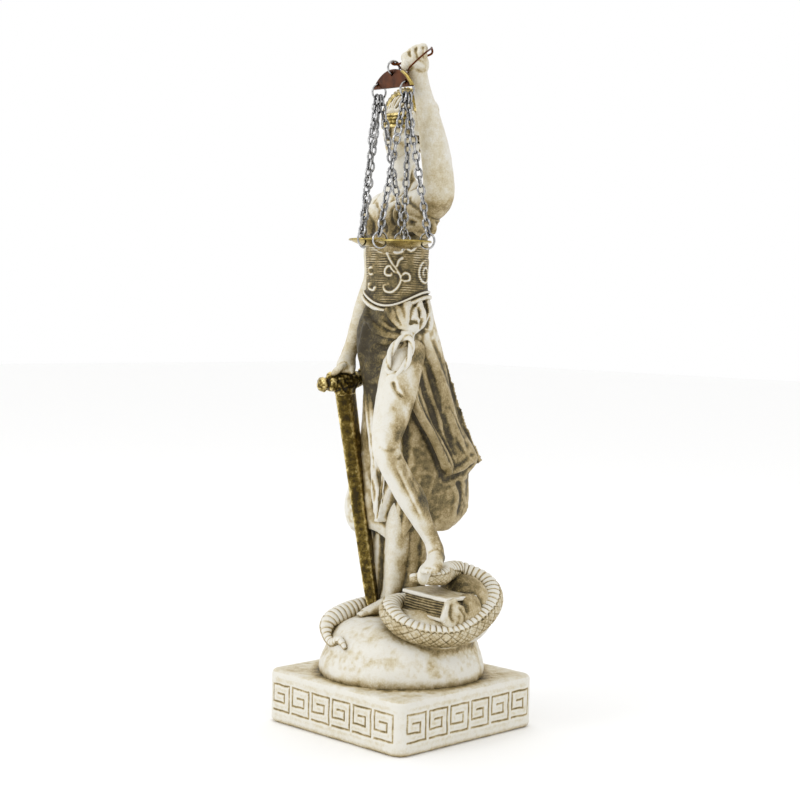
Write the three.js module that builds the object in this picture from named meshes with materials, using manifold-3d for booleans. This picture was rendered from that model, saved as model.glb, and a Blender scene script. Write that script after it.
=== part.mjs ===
// Justice statuette: a draped, blindfolded figure with a sword in one hand and hanging scales in the other,
// one foot raised on a book ringed by a snake, cast together with its mound and square plinth.
// Millimetres. +Z is up, the figure faces -Y, and its left hand is on the +X side.
// The origin is the centre of the plinth's underside.

import * as THREE from 'three';
import { mergeVertices } from 'three/addons/utils/BufferGeometryUtils.js';
import Module from 'manifold-3d';

const wasm = await Module();
wasm.setup();

// Plinth and mound
const PLINTH_WIDTH = 70;
const PLINTH_HEIGHT = 19.3;
const PLINTH_CORNER = 5;
const PLINTH_EDGE = 1.2;
const KEYS_PER_SIDE = 6;
const KEY_PITCH = 10.7;
const KEY_WIDTH = 8.8;
const KEY_HEIGHT = 9.4;
const KEY_GROOVE = 0.9;
const KEY_DEPTH = 0.6;
const MOUND_RADIUS = 29.3;
const MOUND_HEIGHT = 20.5;

// Figure, from the soles to the crown
const FIGURE_HEIGHT = 191;

// Snake, book and sword
const SNAKE_THICKNESS = 8;
const TAIL_THICKNESS = 6.6;
const BOOK_LENGTH = 21;
const BOOK_WIDTH = 17;
const BOOK_THICKNESS = 8.6;
const COVER_OVERHANG = 0.6;
const COVER_THICKNESS = 1.2;
const BLADE_WIDTH = 8.6;
const BLADE_THICKNESS = 3.4;
const BLADE_TAPER = 0.66;
const GUARD_LENGTH = 23;
const GUARD_THICKNESS = 6.6;

// Hanging scales
const WIRE = 0.8;
const WIRE_OUTSET = 2;
const WIRE_HOOK = 2.2;
const CLEARANCE = 0.3;
const RING_SIZE = 6;
const RING_WIRE = 0.7;
const TOP_RING_SIZE = 5.2;
const BEAM_SPAN = 26;
const BEAM_RISE = 6.4;
const BEAM_THICKNESS = 1.2;
const BEAM_HOLE = 1.9;
const BEAM_HOLE_INSET = 1.6;
const BEAM_TIP_MARGIN = 1;
const TOP_RING_ASIDE = 0.5;
const TOP_RING_FORWARD = 0.7;
const RING_SEAT = 0.1;
const CHAIN_PITCH = 3.4;
const CHAIN_WIRE = 0.6;
const LINK_LAP = 0.5;
const LINK_SEAT = 0.2;
const CHAIN_WIDTH = 2.6;
const PAN_GAP = 0.5;
const PAN_DEPTH = 2.4;
const PAN_WALL = 0.8;
const PAN_HOLE = 1.9;
const PAN_RING_RISE = 0.3;
const CHAINS_PER_PAN = 3;
const CHAIN_SPREAD = 56;
const PAN_DROP = 51.2;

// Facets
const LIMB_SIDES = 6;
const CLOTH_SIDES = 22;
const RING_SIDES = 3;
const RING_STEPS = 8;
const PAN_SIDES = 14;

const TURN = 2 * Math.PI;
const UP = new THREE.Vector3(0, 0, 1);
const degrees = THREE.MathUtils.degToRad;

// The figure is set out in units of its own, counted up from the soles to its crown.
const crownLevel = 191;
const figureScale = FIGURE_HEIGHT / crownLevel;
const soles = PLINTH_HEIGHT + MOUND_HEIGHT;

/** A point of the figure: x and y from the plinth's centre, z above the soles. */
function fig(x, y, z) {
  return new THREE.Vector3(x * figureScale, y * figureScale, soles + z * figureScale);
}

const MATERIALS = {
  cast: { color: 0xe6dfca, roughness: 0.7, metalness: 0 },
  copper: { color: 0x7a3a1c, roughness: 0.35, metalness: 1 },
  steel: { color: 0x9b9b9b, roughness: 0.3, metalness: 1 },
  brass: { color: 0xa98a35, roughness: 0.35, metalness: 1 },
};

/** A named mesh of one closed body, made from a manifold solid. */
function piece(name, solid, material) {
  const mesh = new THREE.Mesh(toGeometry(solid), new THREE.MeshStandardMaterial(MATERIALS[material]));
  mesh.name = name;
  return mesh;
}

/** A closed three.js geometry as a manifold solid. */
function solidOf(geometry) {
  const bare = geometry.clone();
  for (const extra of Object.keys(bare.attributes)) {
    if (extra !== 'position') bare.deleteAttribute(extra);
  }
  const merged = mergeVertices(bare, 1e-4);
  const vertProperties = new Float32Array(merged.attributes.position.array);
  const triVerts = new Uint32Array(merged.index.array);
  return new wasm.Manifold(new wasm.Mesh({ numProp: 3, vertProperties, triVerts }));
}

function toGeometry(solid) {
  const mesh = solid.getMesh();
  const geometry = new THREE.BufferGeometry();
  geometry.setAttribute('position', new THREE.BufferAttribute(new Float32Array(mesh.vertProperties), 3));
  geometry.setIndex(new THREE.BufferAttribute(new Uint32Array(mesh.triVerts), 1));
  geometry.computeVertexNormals();
  return geometry;
}

function joined(solids) {
  return solids.reduce((whole, next) => whole.add(next));
}

function cut(solid, cutters) {
  return cutters.reduce((whole, next) => whole.subtract(next), solid);
}

/** A solid from corners and the faces between them, turned so that its faces point out. */
function closedSolid(corners, faces) {
  let volume = 0;
  for (const [a, b, c] of faces) volume += corners[a].dot(corners[b].clone().cross(corners[c]));
  const geometry = new THREE.BufferGeometry().setFromPoints(corners);
  geometry.setIndex(faces.flatMap(([a, b, c]) => (volume > 0 ? [a, b, c] : [a, c, b])));
  return solidOf(geometry);
}

/** A closed body through rings of equally many points, with its two ends drawn to their centres. */
function loft(rings) {
  const sides = rings[0].length;
  const corners = rings.flat();
  const faces = [];
  for (let r = 0; r + 1 < rings.length; r += 1) {
    for (let s = 0; s < sides; s += 1) {
      const a = r * sides + s;
      const b = r * sides + ((s + 1) % sides);
      faces.push([a, b, b + sides], [a, b + sides, a + sides]);
    }
  }
  for (const end of [0, rings.length - 1]) {
    const centre = new THREE.Vector3();
    for (const corner of rings[end]) centre.addScaledVector(corner, 1 / sides);
    const hub = corners.push(centre) - 1;
    for (let s = 0; s < sides; s += 1) {
      const a = end * sides + s;
      const b = end * sides + ((s + 1) % sides);
      faces.push(end === 0 ? [b, a, hub] : [a, b, hub]);
    }
  }
  return closedSolid(corners, faces);
}

/** A limb through stations of { at, wide, deep }: each ring is square to the path, and girth scales it. */
function limb(stations, options = {}) {
  const { across = new THREE.Vector3(1, 0, 0), sides = LIMB_SIDES, swell, girth = figureScale } = options;
  const rings = stations.map(({ at, wide, deep = wide }, i) => {
    const before = stations[Math.max(i - 1, 0)].at;
    const after = stations[Math.min(i + 1, stations.length - 1)].at;
    const along = after.clone().sub(before).normalize();
    const depthWise = along.clone().cross(across).normalize();
    const widthWise = depthWise.clone().cross(along).normalize();
    return Array.from({ length: sides }, (_, s) => {
      const turn = (TURN * s) / sides;
      const reach = girth * (swell ? swell(turn, i / (stations.length - 1)) : 1);
      return at.clone()
        .addScaledVector(widthWise, wide * reach * Math.cos(turn))
        .addScaledVector(depthWise, deep * reach * Math.sin(turn));
    });
  });
  return loft(rings);
}

/** A body of level rings of { at, wide, deep }, turned about +Z: wide runs along X and deep along Y. */
function trunk(stations, { sides = 14, shape = () => 1, dip = () => 0, girth = figureScale } = {}) {
  return loft(stations.map(({ at, wide, deep }, i) => Array.from({ length: sides }, (_, s) => {
    const turn = (TURN * s) / sides;
    const reach = girth * shape(turn, i / (stations.length - 1));
    return new THREE.Vector3(
      at.x + wide * reach * Math.cos(turn),
      at.y + deep * reach * Math.sin(turn),
      at.z + girth * dip(turn),
    );
  })));
}

/** An egg-shaped body with its own half sizes, leaning so that its long way runs along a direction. */
function egg(at, [wide, deep, high], { lean = UP, sides = 6, rings = 4, girth = figureScale } = {}) {
  const geometry = new THREE.SphereGeometry(1, sides, rings);
  geometry.rotateX(Math.PI / 2);
  geometry.scale(wide * girth, deep * girth, high * girth);
  geometry.applyQuaternion(new THREE.Quaternion().setFromUnitVectors(UP, lean.clone().normalize()));
  geometry.translate(at.x, at.y, at.z);
  return solidOf(geometry);
}

/** How strongly a direction faces another, from 0 to 1, both as angles about +Z. */
function facing(turn, direction, sharpness = 1) {
  return Math.max(0, Math.cos(turn - degrees(direction))) ** sharpness;
}

// Directions about +Z
const LEFT = 0;
const BACK = 90;
const RIGHT = 180;
const FRONT = 270;

/** A square outline with round corners. */
function roundedSquare(width, corner) {
  const half = width / 2;
  const outline = new THREE.Shape();
  outline.moveTo(-half + corner, -half);
  outline.absarc(half - corner, -half + corner, corner, -Math.PI / 2, 0);
  outline.absarc(half - corner, half - corner, corner, 0, Math.PI / 2);
  outline.absarc(-half + corner, half - corner, corner, Math.PI / 2, Math.PI);
  outline.absarc(-half + corner, -half + corner, corner, Math.PI, 1.5 * Math.PI);
  outline.closePath();
  return outline;
}

// The corners of one square spiral of the key pattern, as shares of its width and height.
const KEY_CORNERS = [[0, 0], [1, 0], [1, 1], [0, 1], [0, 0.32], [0.69, 0.32], [0.69, 0.66], [0.3, 0.66]];

/** The V-shaped groove of one square spiral, cut from outside into the plane y = 0. */
function keyGroove() {
  const route = KEY_CORNERS.map(([across, rise]) => (
    new THREE.Vector3((across - 0.5) * KEY_WIDTH, 0, (rise - 0.5) * KEY_HEIGHT)
  ));
  const sideways = (from, to) => {
    const along = to.clone().sub(from).normalize();
    return new THREE.Vector3(-along.z, 0, along.x);
  };
  return loft(route.map((at, i) => {
    const mitre = new THREE.Vector3();
    if (i > 0) mitre.add(sideways(route[i - 1], at));
    if (i + 1 < route.length) mitre.add(sideways(at, route[i + 1]));
    const [left, right, root] = [at.clone(), at.clone(), at.clone()];
    left.addScaledVector(mitre, KEY_GROOVE).y -= KEY_DEPTH;
    right.addScaledVector(mitre, -KEY_GROOVE).y -= KEY_DEPTH;
    root.y += KEY_DEPTH;
    return [left, right, root];
  }));
}

/** The grooves of the key pattern on all four sides of the plinth. */
function keyGrooves() {
  const groove = keyGroove();
  const grooves = [];
  for (let side = 0; side < 4; side += 1) {
    for (let k = 0; k < KEYS_PER_SIDE; k += 1) {
      const along = (k - (KEYS_PER_SIDE - 1) / 2) * KEY_PITCH;
      const placed = groove.translate(along, -PLINTH_WIDTH / 2, PLINTH_HEIGHT / 2);
      grooves.push(placed.rotate(0, 0, 90 * side));
    }
  }
  return grooves;
}

function plinth() {
  const outline = roundedSquare(PLINTH_WIDTH - 2 * PLINTH_EDGE, PLINTH_CORNER - PLINTH_EDGE);
  const body = new THREE.ExtrudeGeometry(outline, {
    depth: PLINTH_HEIGHT - 2 * PLINTH_EDGE,
    bevelThickness: PLINTH_EDGE,
    bevelSize: PLINTH_EDGE,
    bevelSegments: 1,
    curveSegments: 2,
  });
  body.translate(0, 0, PLINTH_EDGE);
  return cut(solidOf(body), keyGrooves());
}

/** The rounded mound of ground under the figure, lumpy towards its foot. */
function mound() {
  const profile = [[1.02, -0.05], [1.02, 0.14], [0.965, 0.42], [0.88, 0.7], [0.68, 0.92], [0.34, 1.01]];
  const lumpy = (turn) => 1 - 0.012 * Math.cos(3 * turn) - 0.01 * Math.sin(5 * turn);
  return trunk(profile.map(([share, rise]) => ({
    at: new THREE.Vector3(0, 0, PLINTH_HEIGHT + rise * MOUND_HEIGHT),
    wide: share * MOUND_RADIUS,
    deep: share * MOUND_RADIUS,
  })), { sides: 18, girth: 1, shape: lumpy });
}

/** Chest, from inside the bodice to the neck's root. */
function torso() {
  return trunk([
    { at: fig(-3.4, -3.6, 134), wide: 11.6, deep: 8.6 },
    { at: fig(-3.4, -3.2, 146), wide: 13.6, deep: 9.4 },
    { at: fig(-2.8, -2.6, 152.5), wide: 13.0, deep: 8.0 },
    { at: fig(-2.6, -2.4, 157), wide: 9.4, deep: 6.2 },
    { at: fig(-2.2, -2.8, 160.5), wide: 5.6, deep: 5.2 },
  ], { sides: 12 });
}

/** The breasts, above the bodice. */
function bust() {
  const forward = new THREE.Vector3(0.1, -1, -0.25);
  return [
    egg(fig(-9.2, -9.6, 144.5), [5.6, 5.8, 6.2], { lean: forward }),
    egg(fig(3.4, -9.2, 145.5), [5.6, 5.8, 6.2], { lean: forward }),
  ];
}

/** The stiff bodice from under the bust to the hips, with a point in front and a rolled lower rim. */
function corset() {
  const dip = (turn) => -4.2 * facing(turn, FRONT - 12, 2);
  const wall = [
    { at: fig(-3.4, -3.6, 138), wide: 13.1, deep: 10.0 },
    { at: fig(-3.4, -3.6, 127), wide: 12.5, deep: 9.5 },
    { at: fig(-3.4, -3.4, 118.6), wide: 12.9, deep: 9.8 },
    { at: fig(-3.4, -3.4, 117.8), wide: 14.1, deep: 10.9 },
    { at: fig(-3.4, -3.4, 116.4), wide: 14.1, deep: 10.9 },
    { at: fig(-3.4, -3.4, 115.6), wide: 12.4, deep: 9.6 },
  ];
  return trunk(wall, { sides: 14, dip });
}

/** The scroll relief on the bodice: curled stems raised from its front. */
function corsetScrolls() {
  const stems = [
    { from: -22, level: 130, curl: 1 },
    { from: 14, level: 126, curl: -1 },
    { from: 42, level: 130, curl: 1 },
    { from: -52, level: 125, curl: -1 },
  ];
  return stems.map(({ from, level, curl }) => {
    const steps = 6;
    const stations = Array.from({ length: steps + 1 }, (_, i) => {
      const share = i / steps;
      const swing = share * 1.35 * TURN;
      const radius = 1 + 4.4 * (1 - share);
      const turn = degrees(FRONT + from) + (curl * radius * Math.sin(swing)) / 12;
      const height = level + radius * Math.cos(swing);
      const at = fig(-3.4 + 12.9 * Math.cos(turn), -3.6 + 9.9 * Math.sin(turn), height);
      return { at, wide: 0.55 };
    });
    return limb(stations, { across: new THREE.Vector3(0.3, 0.2, 0.93), sides: 3 });
  });
}

/** Head with jaw, nose, hair and its knot, arched diadem and blindfold. The face is plain and calm. */
function head() {
  const skull = trunk([
    { at: fig(-1.8, -3.0, 158), wide: 5.0, deep: 4.9 },
    { at: fig(-1.2, -3.2, 165), wide: 4.7, deep: 4.6 },
    { at: fig(-1.0, -4.6, 168.5), wide: 4.2, deep: 6.2 },
    { at: fig(-0.8, -4.2, 173), wide: 6.2, deep: 8.0 },
    { at: fig(-0.6, -3.6, 178.5), wide: 7.2, deep: 8.8 },
    { at: fig(-0.5, -3.2, 185), wide: 7.3, deep: 8.8 },
  ], { sides: 10 });
  const hair = trunk([
    { at: fig(-0.8, 3.2, 165), wide: 4.2, deep: 2.6 },
    { at: fig(-0.8, 2.2, 172), wide: 8.0, deep: 6.4 },
    { at: fig(-0.6, 0.4, 179), wide: 8.8, deep: 8.6 },
    { at: fig(-0.5, -1.6, 186), wide: 8.4, deep: 9.4 },
    { at: fig(-0.5, -1.4, 191), wide: 4.8, deep: 5.6 },
  ], { sides: 12 });
  const bun = egg(fig(-0.6, 9.2, 180), [4.6, 3.6, 4.4]);
  const noseLean = new THREE.Vector3(0, 0.35, 1);
  const nose = egg(fig(-0.8, -12.4, 175), [1.2, 1.6, 2.6], { lean: noseLean, sides: 4, rings: 3 });
  const blindfold = trunk([
    { at: fig(-0.6, -3.2, 177.4), wide: 8.5, deep: 9.9 },
    { at: fig(-0.6, -2.8, 183.4), wide: 8.9, deep: 10.2 },
  ], { sides: 12 });
  const arch = Array.from({ length: 7 }, (_, i) => {
    const turn = (Math.PI * i) / 6;
    const at = fig(-0.5 + 8.0 * Math.cos(turn), -5.0 + 1.4 * Math.sin(turn), 183 + 8.8 * Math.sin(turn));
    return { at, wide: 0.9, deep: 2.2 };
  });
  const diadem = limb(arch, { across: new THREE.Vector3(0, 0.8, 0.6), sides: 4 });
  return [skull, hair, bun, nose, blindfold, diadem];
}

/** The raised left arm: its fist is high over the left shoulder, in front of the head. */
const fist = fig(23.6, -23.8, 198);
const fistAlong = new THREE.Vector3(-0.66, -0.66, -0.30).normalize();
const FIST_HALF = 4.6;

function raisedArm() {
  const arm = limb([
    { at: fig(2, -2.6, 147), wide: 6.5, deep: 6 },
    { at: fig(11, -4, 150), wide: 7.2, deep: 6.8 },
    { at: fig(20, -9, 151), wide: 6.6, deep: 6.8 },
    { at: fig(26.4, -14, 154), wide: 6.1, deep: 5.7 },
    { at: fig(27.8, -16, 162), wide: 5.3, deep: 5.1 },
    { at: fig(27.2, -18.8, 174), wide: 4.5, deep: 4.1 },
    { at: fig(25.7, -21.5, 186), wide: 3.3, deep: 3.0 },
    { at: fig(24.4, -23.4, 196), wide: 3.9, deep: 3.5 },
  ], { across: new THREE.Vector3(0.7, 0.7, 0.1), sides: 7 });
  const palm = egg(fist, [FIST_HALF, 4.8, 5.8], { lean: fistAlong, sides: 7, rings: 4 });
  const knuckle = new THREE.Vector3(-0.66, -0.66, 0).normalize();
  const fingers = Array.from({ length: 4 }, (_, i) => {
    const at = fist.clone().addScaledVector(knuckle, (i - 1.2) * 2.5 * figureScale);
    at.add(new THREE.Vector3(1.5, -1.5, 2.4 - 0.35 * i * i).multiplyScalar(figureScale));
    return egg(at, [1.6, 1.6, 3.2], { lean: new THREE.Vector3(0.6, -0.6, 0.6), sides: 4, rings: 3 });
  });
  return [arm, palm, ...fingers];
}

/** The short gathered sleeve under the raised arm. */
function leftSleeve() {
  return limb([
    { at: fig(4, -6, 150), wide: 4.6, deep: 5.4 },
    { at: fig(12, -7.5, 146), wide: 6.4, deep: 6.2 },
    { at: fig(17.5, -9, 143), wide: 6.8, deep: 6.2 },
    { at: fig(16.5, -7, 139), wide: 4.6, deep: 4.2 },
  ], { across: new THREE.Vector3(0, 0.5, 0.9), sides: 8, swell: (turn) => 1 + 0.09 * Math.cos(4 * turn) });
}

/** The lowered right arm, its hand resting on the hilt. */
function loweredArm() {
  const arm = limb([
    { at: fig(-11, -2, 153), wide: 5.4, deep: 6.0 },
    { at: fig(-15.5, -1, 147), wide: 5.8, deep: 6.0 },
    { at: fig(-18.4, 0.6, 134), wide: 4.8, deep: 5.0 },
    { at: fig(-18.2, 0.4, 121), wide: 4.3, deep: 4.5 },
    { at: fig(-20.4, -3.4, 110), wide: 3.9, deep: 4.2 },
    { at: fig(-22.8, -7.6, 98), wide: 2.8, deep: 3.0 },
    { at: fig(-22.6, -9.6, 92), wide: 3.2, deep: 3.8 },
    { at: fig(-22, -10.4, 86), wide: 2.4, deep: 2.6 },
  ]);
  const sleeve = limb([
    { at: fig(-12, -2, 156), wide: 4.0, deep: 4.4 },
    { at: fig(-15.2, -1.2, 151), wide: 6.8, deep: 6.6 },
    { at: fig(-17.4, 0, 141), wide: 6.2, deep: 6.4 },
    { at: fig(-17.8, 0.4, 138.6), wide: 4.6, deep: 4.6 },
  ], { sides: 8 });
  return [arm, sleeve];
}

// How far the cloth reaches from the body's axis, every 30 degrees from LEFT through BACK, at each level.
const SKIRT_LEVELS = [
  { level: 119, reach: [12.0, 10.0, 7.6, 6.6, 7.6, 10.0, 12.0, 13.0, 12.6, 12.2, 12.6, 12.8] },
  { level: 110, reach: [14.0, 12.6, 10.8, 10.2, 11.0, 13.0, 14.6, 14.4, 13.8, 13.4, 14.0, 14.4] },
  { level: 99, reach: [14.6, 14.8, 14.2, 13.6, 14.6, 16.0, 16.8, 15.0, 13.8, 13.6, 13.4, 14.0] },
  { level: 86, reach: [13.4, 16.6, 18.0, 17.8, 18.0, 18.4, 17.6, 14.4, 11.6, 10.6, 8.8, 10.4] },
  { level: 72, reach: [12.0, 17.4, 23.0, 21.6, 21.2, 21.4, 19.2, 13.4, 9.8, 7.4, 6.4, 8.0] },
  { level: 58, reach: [10.6, 16.6, 31.0, 26.8, 24.8, 24.8, 21.6, 14.2, 8.2, 5.6, 5.2, 6.6] },
  { level: 50, reach: [10.2, 14.6, 26.4, 27.8, 26.2, 26.4, 23.8, 15.0, 7.6, 5.0, 5.0, 6.4] },
  { level: 36, reach: [8.6, 12.4, 26.0, 30.4, 27.0, 28.2, 28.6, 19.6, 7.0, 5.0, 5.0, 6.4] },
  { level: 30, reach: [7.6, 9.0, 17.0, 22.0, 22.4, 23.4, 23.0, 13.6, 6.4, 4.6, 4.6, 5.6] },
];

/** The skirt: gathered round the hips, split over the left leg and blown out wide behind. */
function skirt() {
  const rings = SKIRT_LEVELS.map(({ level, reach }) => {
    const drop = (SKIRT_LEVELS[0].level - level) / 90;
    return Array.from({ length: CLOTH_SIDES }, (_, s) => {
      const turn = (TURN * s) / CLOTH_SIDES;
      const place = (s / CLOTH_SIDES) * reach.length;
      const low = Math.floor(place);
      const between = place - low;
      const blend = between * between * (3 - 2 * between);
      const plain = reach[low % reach.length] * (1 - blend) + reach[(low + 1) % reach.length] * blend;
      const folds = 1 + 0.06 * drop * Math.cos(8 * turn + 2.2 * drop);
      return fig(-3 + plain * folds * Math.cos(turn), plain * folds * Math.sin(turn), level);
    });
  });
  return loft(rings);
}

/** The swags of cloth wound over the front of the hips, from the right hip to the gather on the left. */
function hipSwags() {
  const gather = fig(10.4, -9.6, 104.5);
  const swags = [
    { start: fig(-15, -7, 112), sag: fig(-4, -15.2, 107), thick: 3.2 },
    { start: fig(-16.5, -6, 104), sag: fig(-5, -15.6, 98), thick: 3.0 },
    { start: fig(-17, -5, 95), sag: fig(-6, -14.0, 89), thick: 2.8 },
  ];
  return swags.map(({ start, sag, thick }) => {
    const curve = new THREE.QuadraticBezierCurve3(start, sag, gather);
    const steps = 4;
    const stations = Array.from({ length: steps + 1 }, (_, i) => {
      const share = i / steps;
      const body = thick * (0.45 + 0.55 * Math.sin(Math.PI * (0.12 + 0.76 * share)));
      return { at: curve.getPoint(share), wide: body, deep: body };
    });
    return limb(stations, { across: UP, sides: 5 });
  });
}

/** The cloth loop and knot over the left thigh, with the gather that it hangs from. */
function loopAndKnot() {
  const knot = fig(9.6, -16.4, 88.4);
  const top = fig(9.8, -10.4, 103.5);
  const middle = top.clone().lerp(knot, 0.5).addScaledVector(new THREE.Vector3(0.6, -0.8, 0), figureScale);
  const along = knot.clone().sub(top).normalize();
  const across = new THREE.Vector3(0.72, 0.62, 0.1).normalize();
  const steps = 8;
  const centreLine = Array.from({ length: steps }, (_, i) => {
    const turn = (TURN * i) / steps;
    return middle.clone()
      .addScaledVector(along, 7.2 * figureScale * Math.cos(turn))
      .addScaledVector(across, 3.6 * figureScale * Math.sin(turn));
  });
  const halves = [0, steps / 2].map((first) => limb(
    Array.from({ length: steps / 2 + 1 }, (_, i) => ({ at: centreLine[(first + i) % steps], wide: 1.3 })),
    { across: new THREE.Vector3(0.7, -0.7, 0), sides: 4 },
  ));
  return [...halves, egg(knot, [2.6, 2.6, 2.3]), egg(top, [2.8, 2.8, 2.6])];
}

/** The front of the cape, from the split's hem to its blown corner, with two long folds between. */
function capeFront() {
  const levels = [
    { level: 104, hem: [10.2, -9.4], corner: [6.4, 9.0] },
    { level: 90, hem: [10.6, -11.6], corner: [7.6, 14.6] },
    { level: 76, hem: [12.2, -7.6], corner: [8.2, 20.4] },
    { level: 64, hem: [13.6, 0.4], corner: [9.2, 26.6] },
    { level: 56, hem: [13.6, 5.6], corner: [9.8, 30.2] },
    { level: 52.5, hem: [12.4, 8.0], corner: [7.6, 25.0] },
  ];
  return loft(levels.map(({ level, hem, corner }) => {
    const between = (share, push) => fig(
      hem[0] + (corner[0] - hem[0]) * share + push,
      hem[1] + (corner[1] - hem[1]) * share,
      level,
    );
    return [
      between(0, 0), between(0.22, -1.0), between(0.46, 1.2), between(0.7, -0.6), between(1, 0),
      between(1.04, -9), between(0.45, -11), between(0.12, -6),
    ];
  }));
}

/** The narrow under-skirt that falls behind the legs to the ground. */
function underSkirt() {
  return trunk([
    { at: fig(-6, 5.6, 38), wide: 11.0, deep: 7.4 },
    { at: fig(-5.4, 5.4, 16), wide: 9.8, deep: 6.4 },
    { at: fig(-5.6, 4.8, -2), wide: 11.0, deep: 7.2 },
  ], { sides: 14, shape: (turn) => 1 + 0.09 * Math.cos(7 * turn) });
}

/** The front fall of cloth between the legs, ending in a point beside the standing shin. */
function frontFall() {
  return loft([
    { z: 90, left: [4, -12], right: [-13, -9.5], back: 8 },
    { z: 74, left: [3, -9.5], right: [-12.6, -8.0], back: 8 },
    { z: 58, left: [3, -6.0], right: [-10.4, -7.2], back: 8 },
    { z: 44, left: [-0.5, -4.6], right: [-9.0, -7.8], back: 7 },
    { z: 35, left: [-4.4, -5.2], right: [-7.6, -7.0], back: 5 },
  ].map(({ z, left, right, back }) => {
    const middle = [(left[0] + right[0]) / 2, (left[1] + right[1]) / 2 - 1.6];
    return [
      fig(right[0], right[1], z),
      fig((right[0] + middle[0]) / 2, (right[1] + middle[1]) / 2 + 0.9, z),
      fig(middle[0], middle[1], z),
      fig((left[0] + middle[0]) / 2, (left[1] + middle[1]) / 2 + 1.0, z),
      fig(left[0], left[1], z),
      fig(left[0] - 1, left[1] + back, z),
      fig(right[0] + 1, right[1] + back, z),
    ];
  }));
}

/** The bent left leg, bare from the hip, its foot raised on the snake. */
function raisedLeg() {
  const leg = limb([
    { at: fig(4, -5, 99), wide: 7.6, deep: 7.0 },
    { at: fig(7.8, -12.6, 86), wide: 7.4, deep: 7.1 },
    { at: fig(10.4, -18.4, 75), wide: 6.6, deep: 6.4 },
    { at: fig(12.8, -23.0, 66), wide: 5.0, deep: 4.9 },
    { at: fig(14.0, -22.2, 59.5), wide: 4.7, deep: 4.9 },
    { at: fig(16.2, -17.0, 50), wide: 4.5, deep: 5.0 },
    { at: fig(18.2, -10.4, 39), wide: 3.5, deep: 3.9 },
    { at: fig(19.8, -4.8, 29.5), wide: 2.7, deep: 3.1 },
    { at: fig(20.4, -3.8, 24), wide: 2.9, deep: 3.6 },
  ], { sides: 8 });
  return [leg, foot(fig(19.2, -1.6, 23.4), fig(29.4, -16.4, 21.9))];
}

/** The straight right leg that carries the weight. */
function standingLeg() {
  const leg = limb([
    { at: fig(-4.0, 0.4, 54), wide: 4.8, deep: 5.0 },
    { at: fig(-3.2, 0.4, 38), wide: 4.9, deep: 5.2 },
    { at: fig(-3.6, 0.0, 24), wide: 4.0, deep: 4.3 },
    { at: fig(-4.6, -0.4, 10), wide: 2.7, deep: 3.1 },
    { at: fig(-4.8, 0.0, 2), wide: 3.0, deep: 3.6 },
  ]);
  return [leg, foot(fig(-4.2, 2.6, 1.6), fig(-11.4, -11, 0.4))];
}

/** A bare foot from heel to toes. */
function foot(heel, toes) {
  const at = (share, lift) => heel.clone().lerp(toes, share).addScaledVector(UP, lift * figureScale);
  const side = toes.clone().sub(heel).cross(UP).normalize();
  const sole = limb([
    { at: at(-0.08, 0.4), wide: 1.6, deep: 1.6 },
    { at: at(0.08, 0.8), wide: 2.7, deep: 2.8 },
    { at: at(0.38, 1.5), wide: 2.9, deep: 3.3 },
    { at: at(0.68, 0.7), wide: 3.6, deep: 2.2 },
    { at: at(0.9, 0.2), wide: 3.7, deep: 1.4 },
    { at: at(1, 0), wide: 3.0, deep: 0.9 },
  ], { across: side });
  return sole;
}

// The snake's route from its head, under the raised foot, round the book and on behind the standing leg.
const SNAKE_ROUTE = [
  fig(18.6, -15.2, 18.0), fig(21.6, -9.6, 18.0), fig(21.4, -2.2, 17.6), fig(15.0, 5.6, 17.4),
  fig(14.4, 14.8, 16.6), fig(22.2, 19.8, 13.0), fig(29.0, 16.8, 8.0), fig(31.6, 8.0, 2.4),
  fig(30.6, -3.0, -1.8), fig(25.6, -12.0, -1.8), fig(17.6, -17.2, 0.8), fig(8.4, -14.8, 4.6),
  fig(4.2, -7.0, 5.6), fig(3.8, 2.0, 4.6), fig(-2.0, 8.6, 3.0), fig(-11.6, 7.6, 1.8),
];
const TAIL_ROUTE = [
  fig(-11.6, 7.6, 1.8), fig(-16.4, 1.6, 1.4), fig(-18.6, -7.0, 0.2), fig(-19.2, -15.6, -2.2),
  fig(-18.2, -20.6, -4.6), fig(-15.8, -22.8, -9.4), fig(-11.0, -23.2, -9.6), fig(-6.6, -23.0, -12.6),
];

/** The snake: a flat head, an even body and a tapering tail. */
function snake() {
  const body = new THREE.CatmullRomCurve3(SNAKE_ROUTE);
  const steps = 24;
  const stations = Array.from({ length: steps + 1 }, (_, i) => {
    const share = i / steps;
    const grow = Math.min(1, 0.5 + 3.2 * share);
    const half = (SNAKE_THICKNESS / 2) * (i === 0 ? 0.25 : grow);
    return { at: body.getPointAt(share), wide: half, deep: i < 4 ? half * 0.72 : half };
  });
  const tail = new THREE.CatmullRomCurve3(TAIL_ROUTE);
  const tailSteps = 9;
  const tailStations = Array.from({ length: tailSteps + 1 }, (_, i) => {
    const share = i / tailSteps;
    const thick = share < 0.55 ? TAIL_THICKNESS : TAIL_THICKNESS * Math.max(0.18, 1 - 1.9 * (share - 0.5));
    return { at: tail.getPointAt(share), wide: thick / 2 };
  });
  return [
    limb(stations, { across: UP, sides: 5, girth: 1 }),
    limb(tailStations, { across: new THREE.Vector3(0.4, 0.3, 0.85), sides: 5, girth: 1 }),
  ];
}

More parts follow.
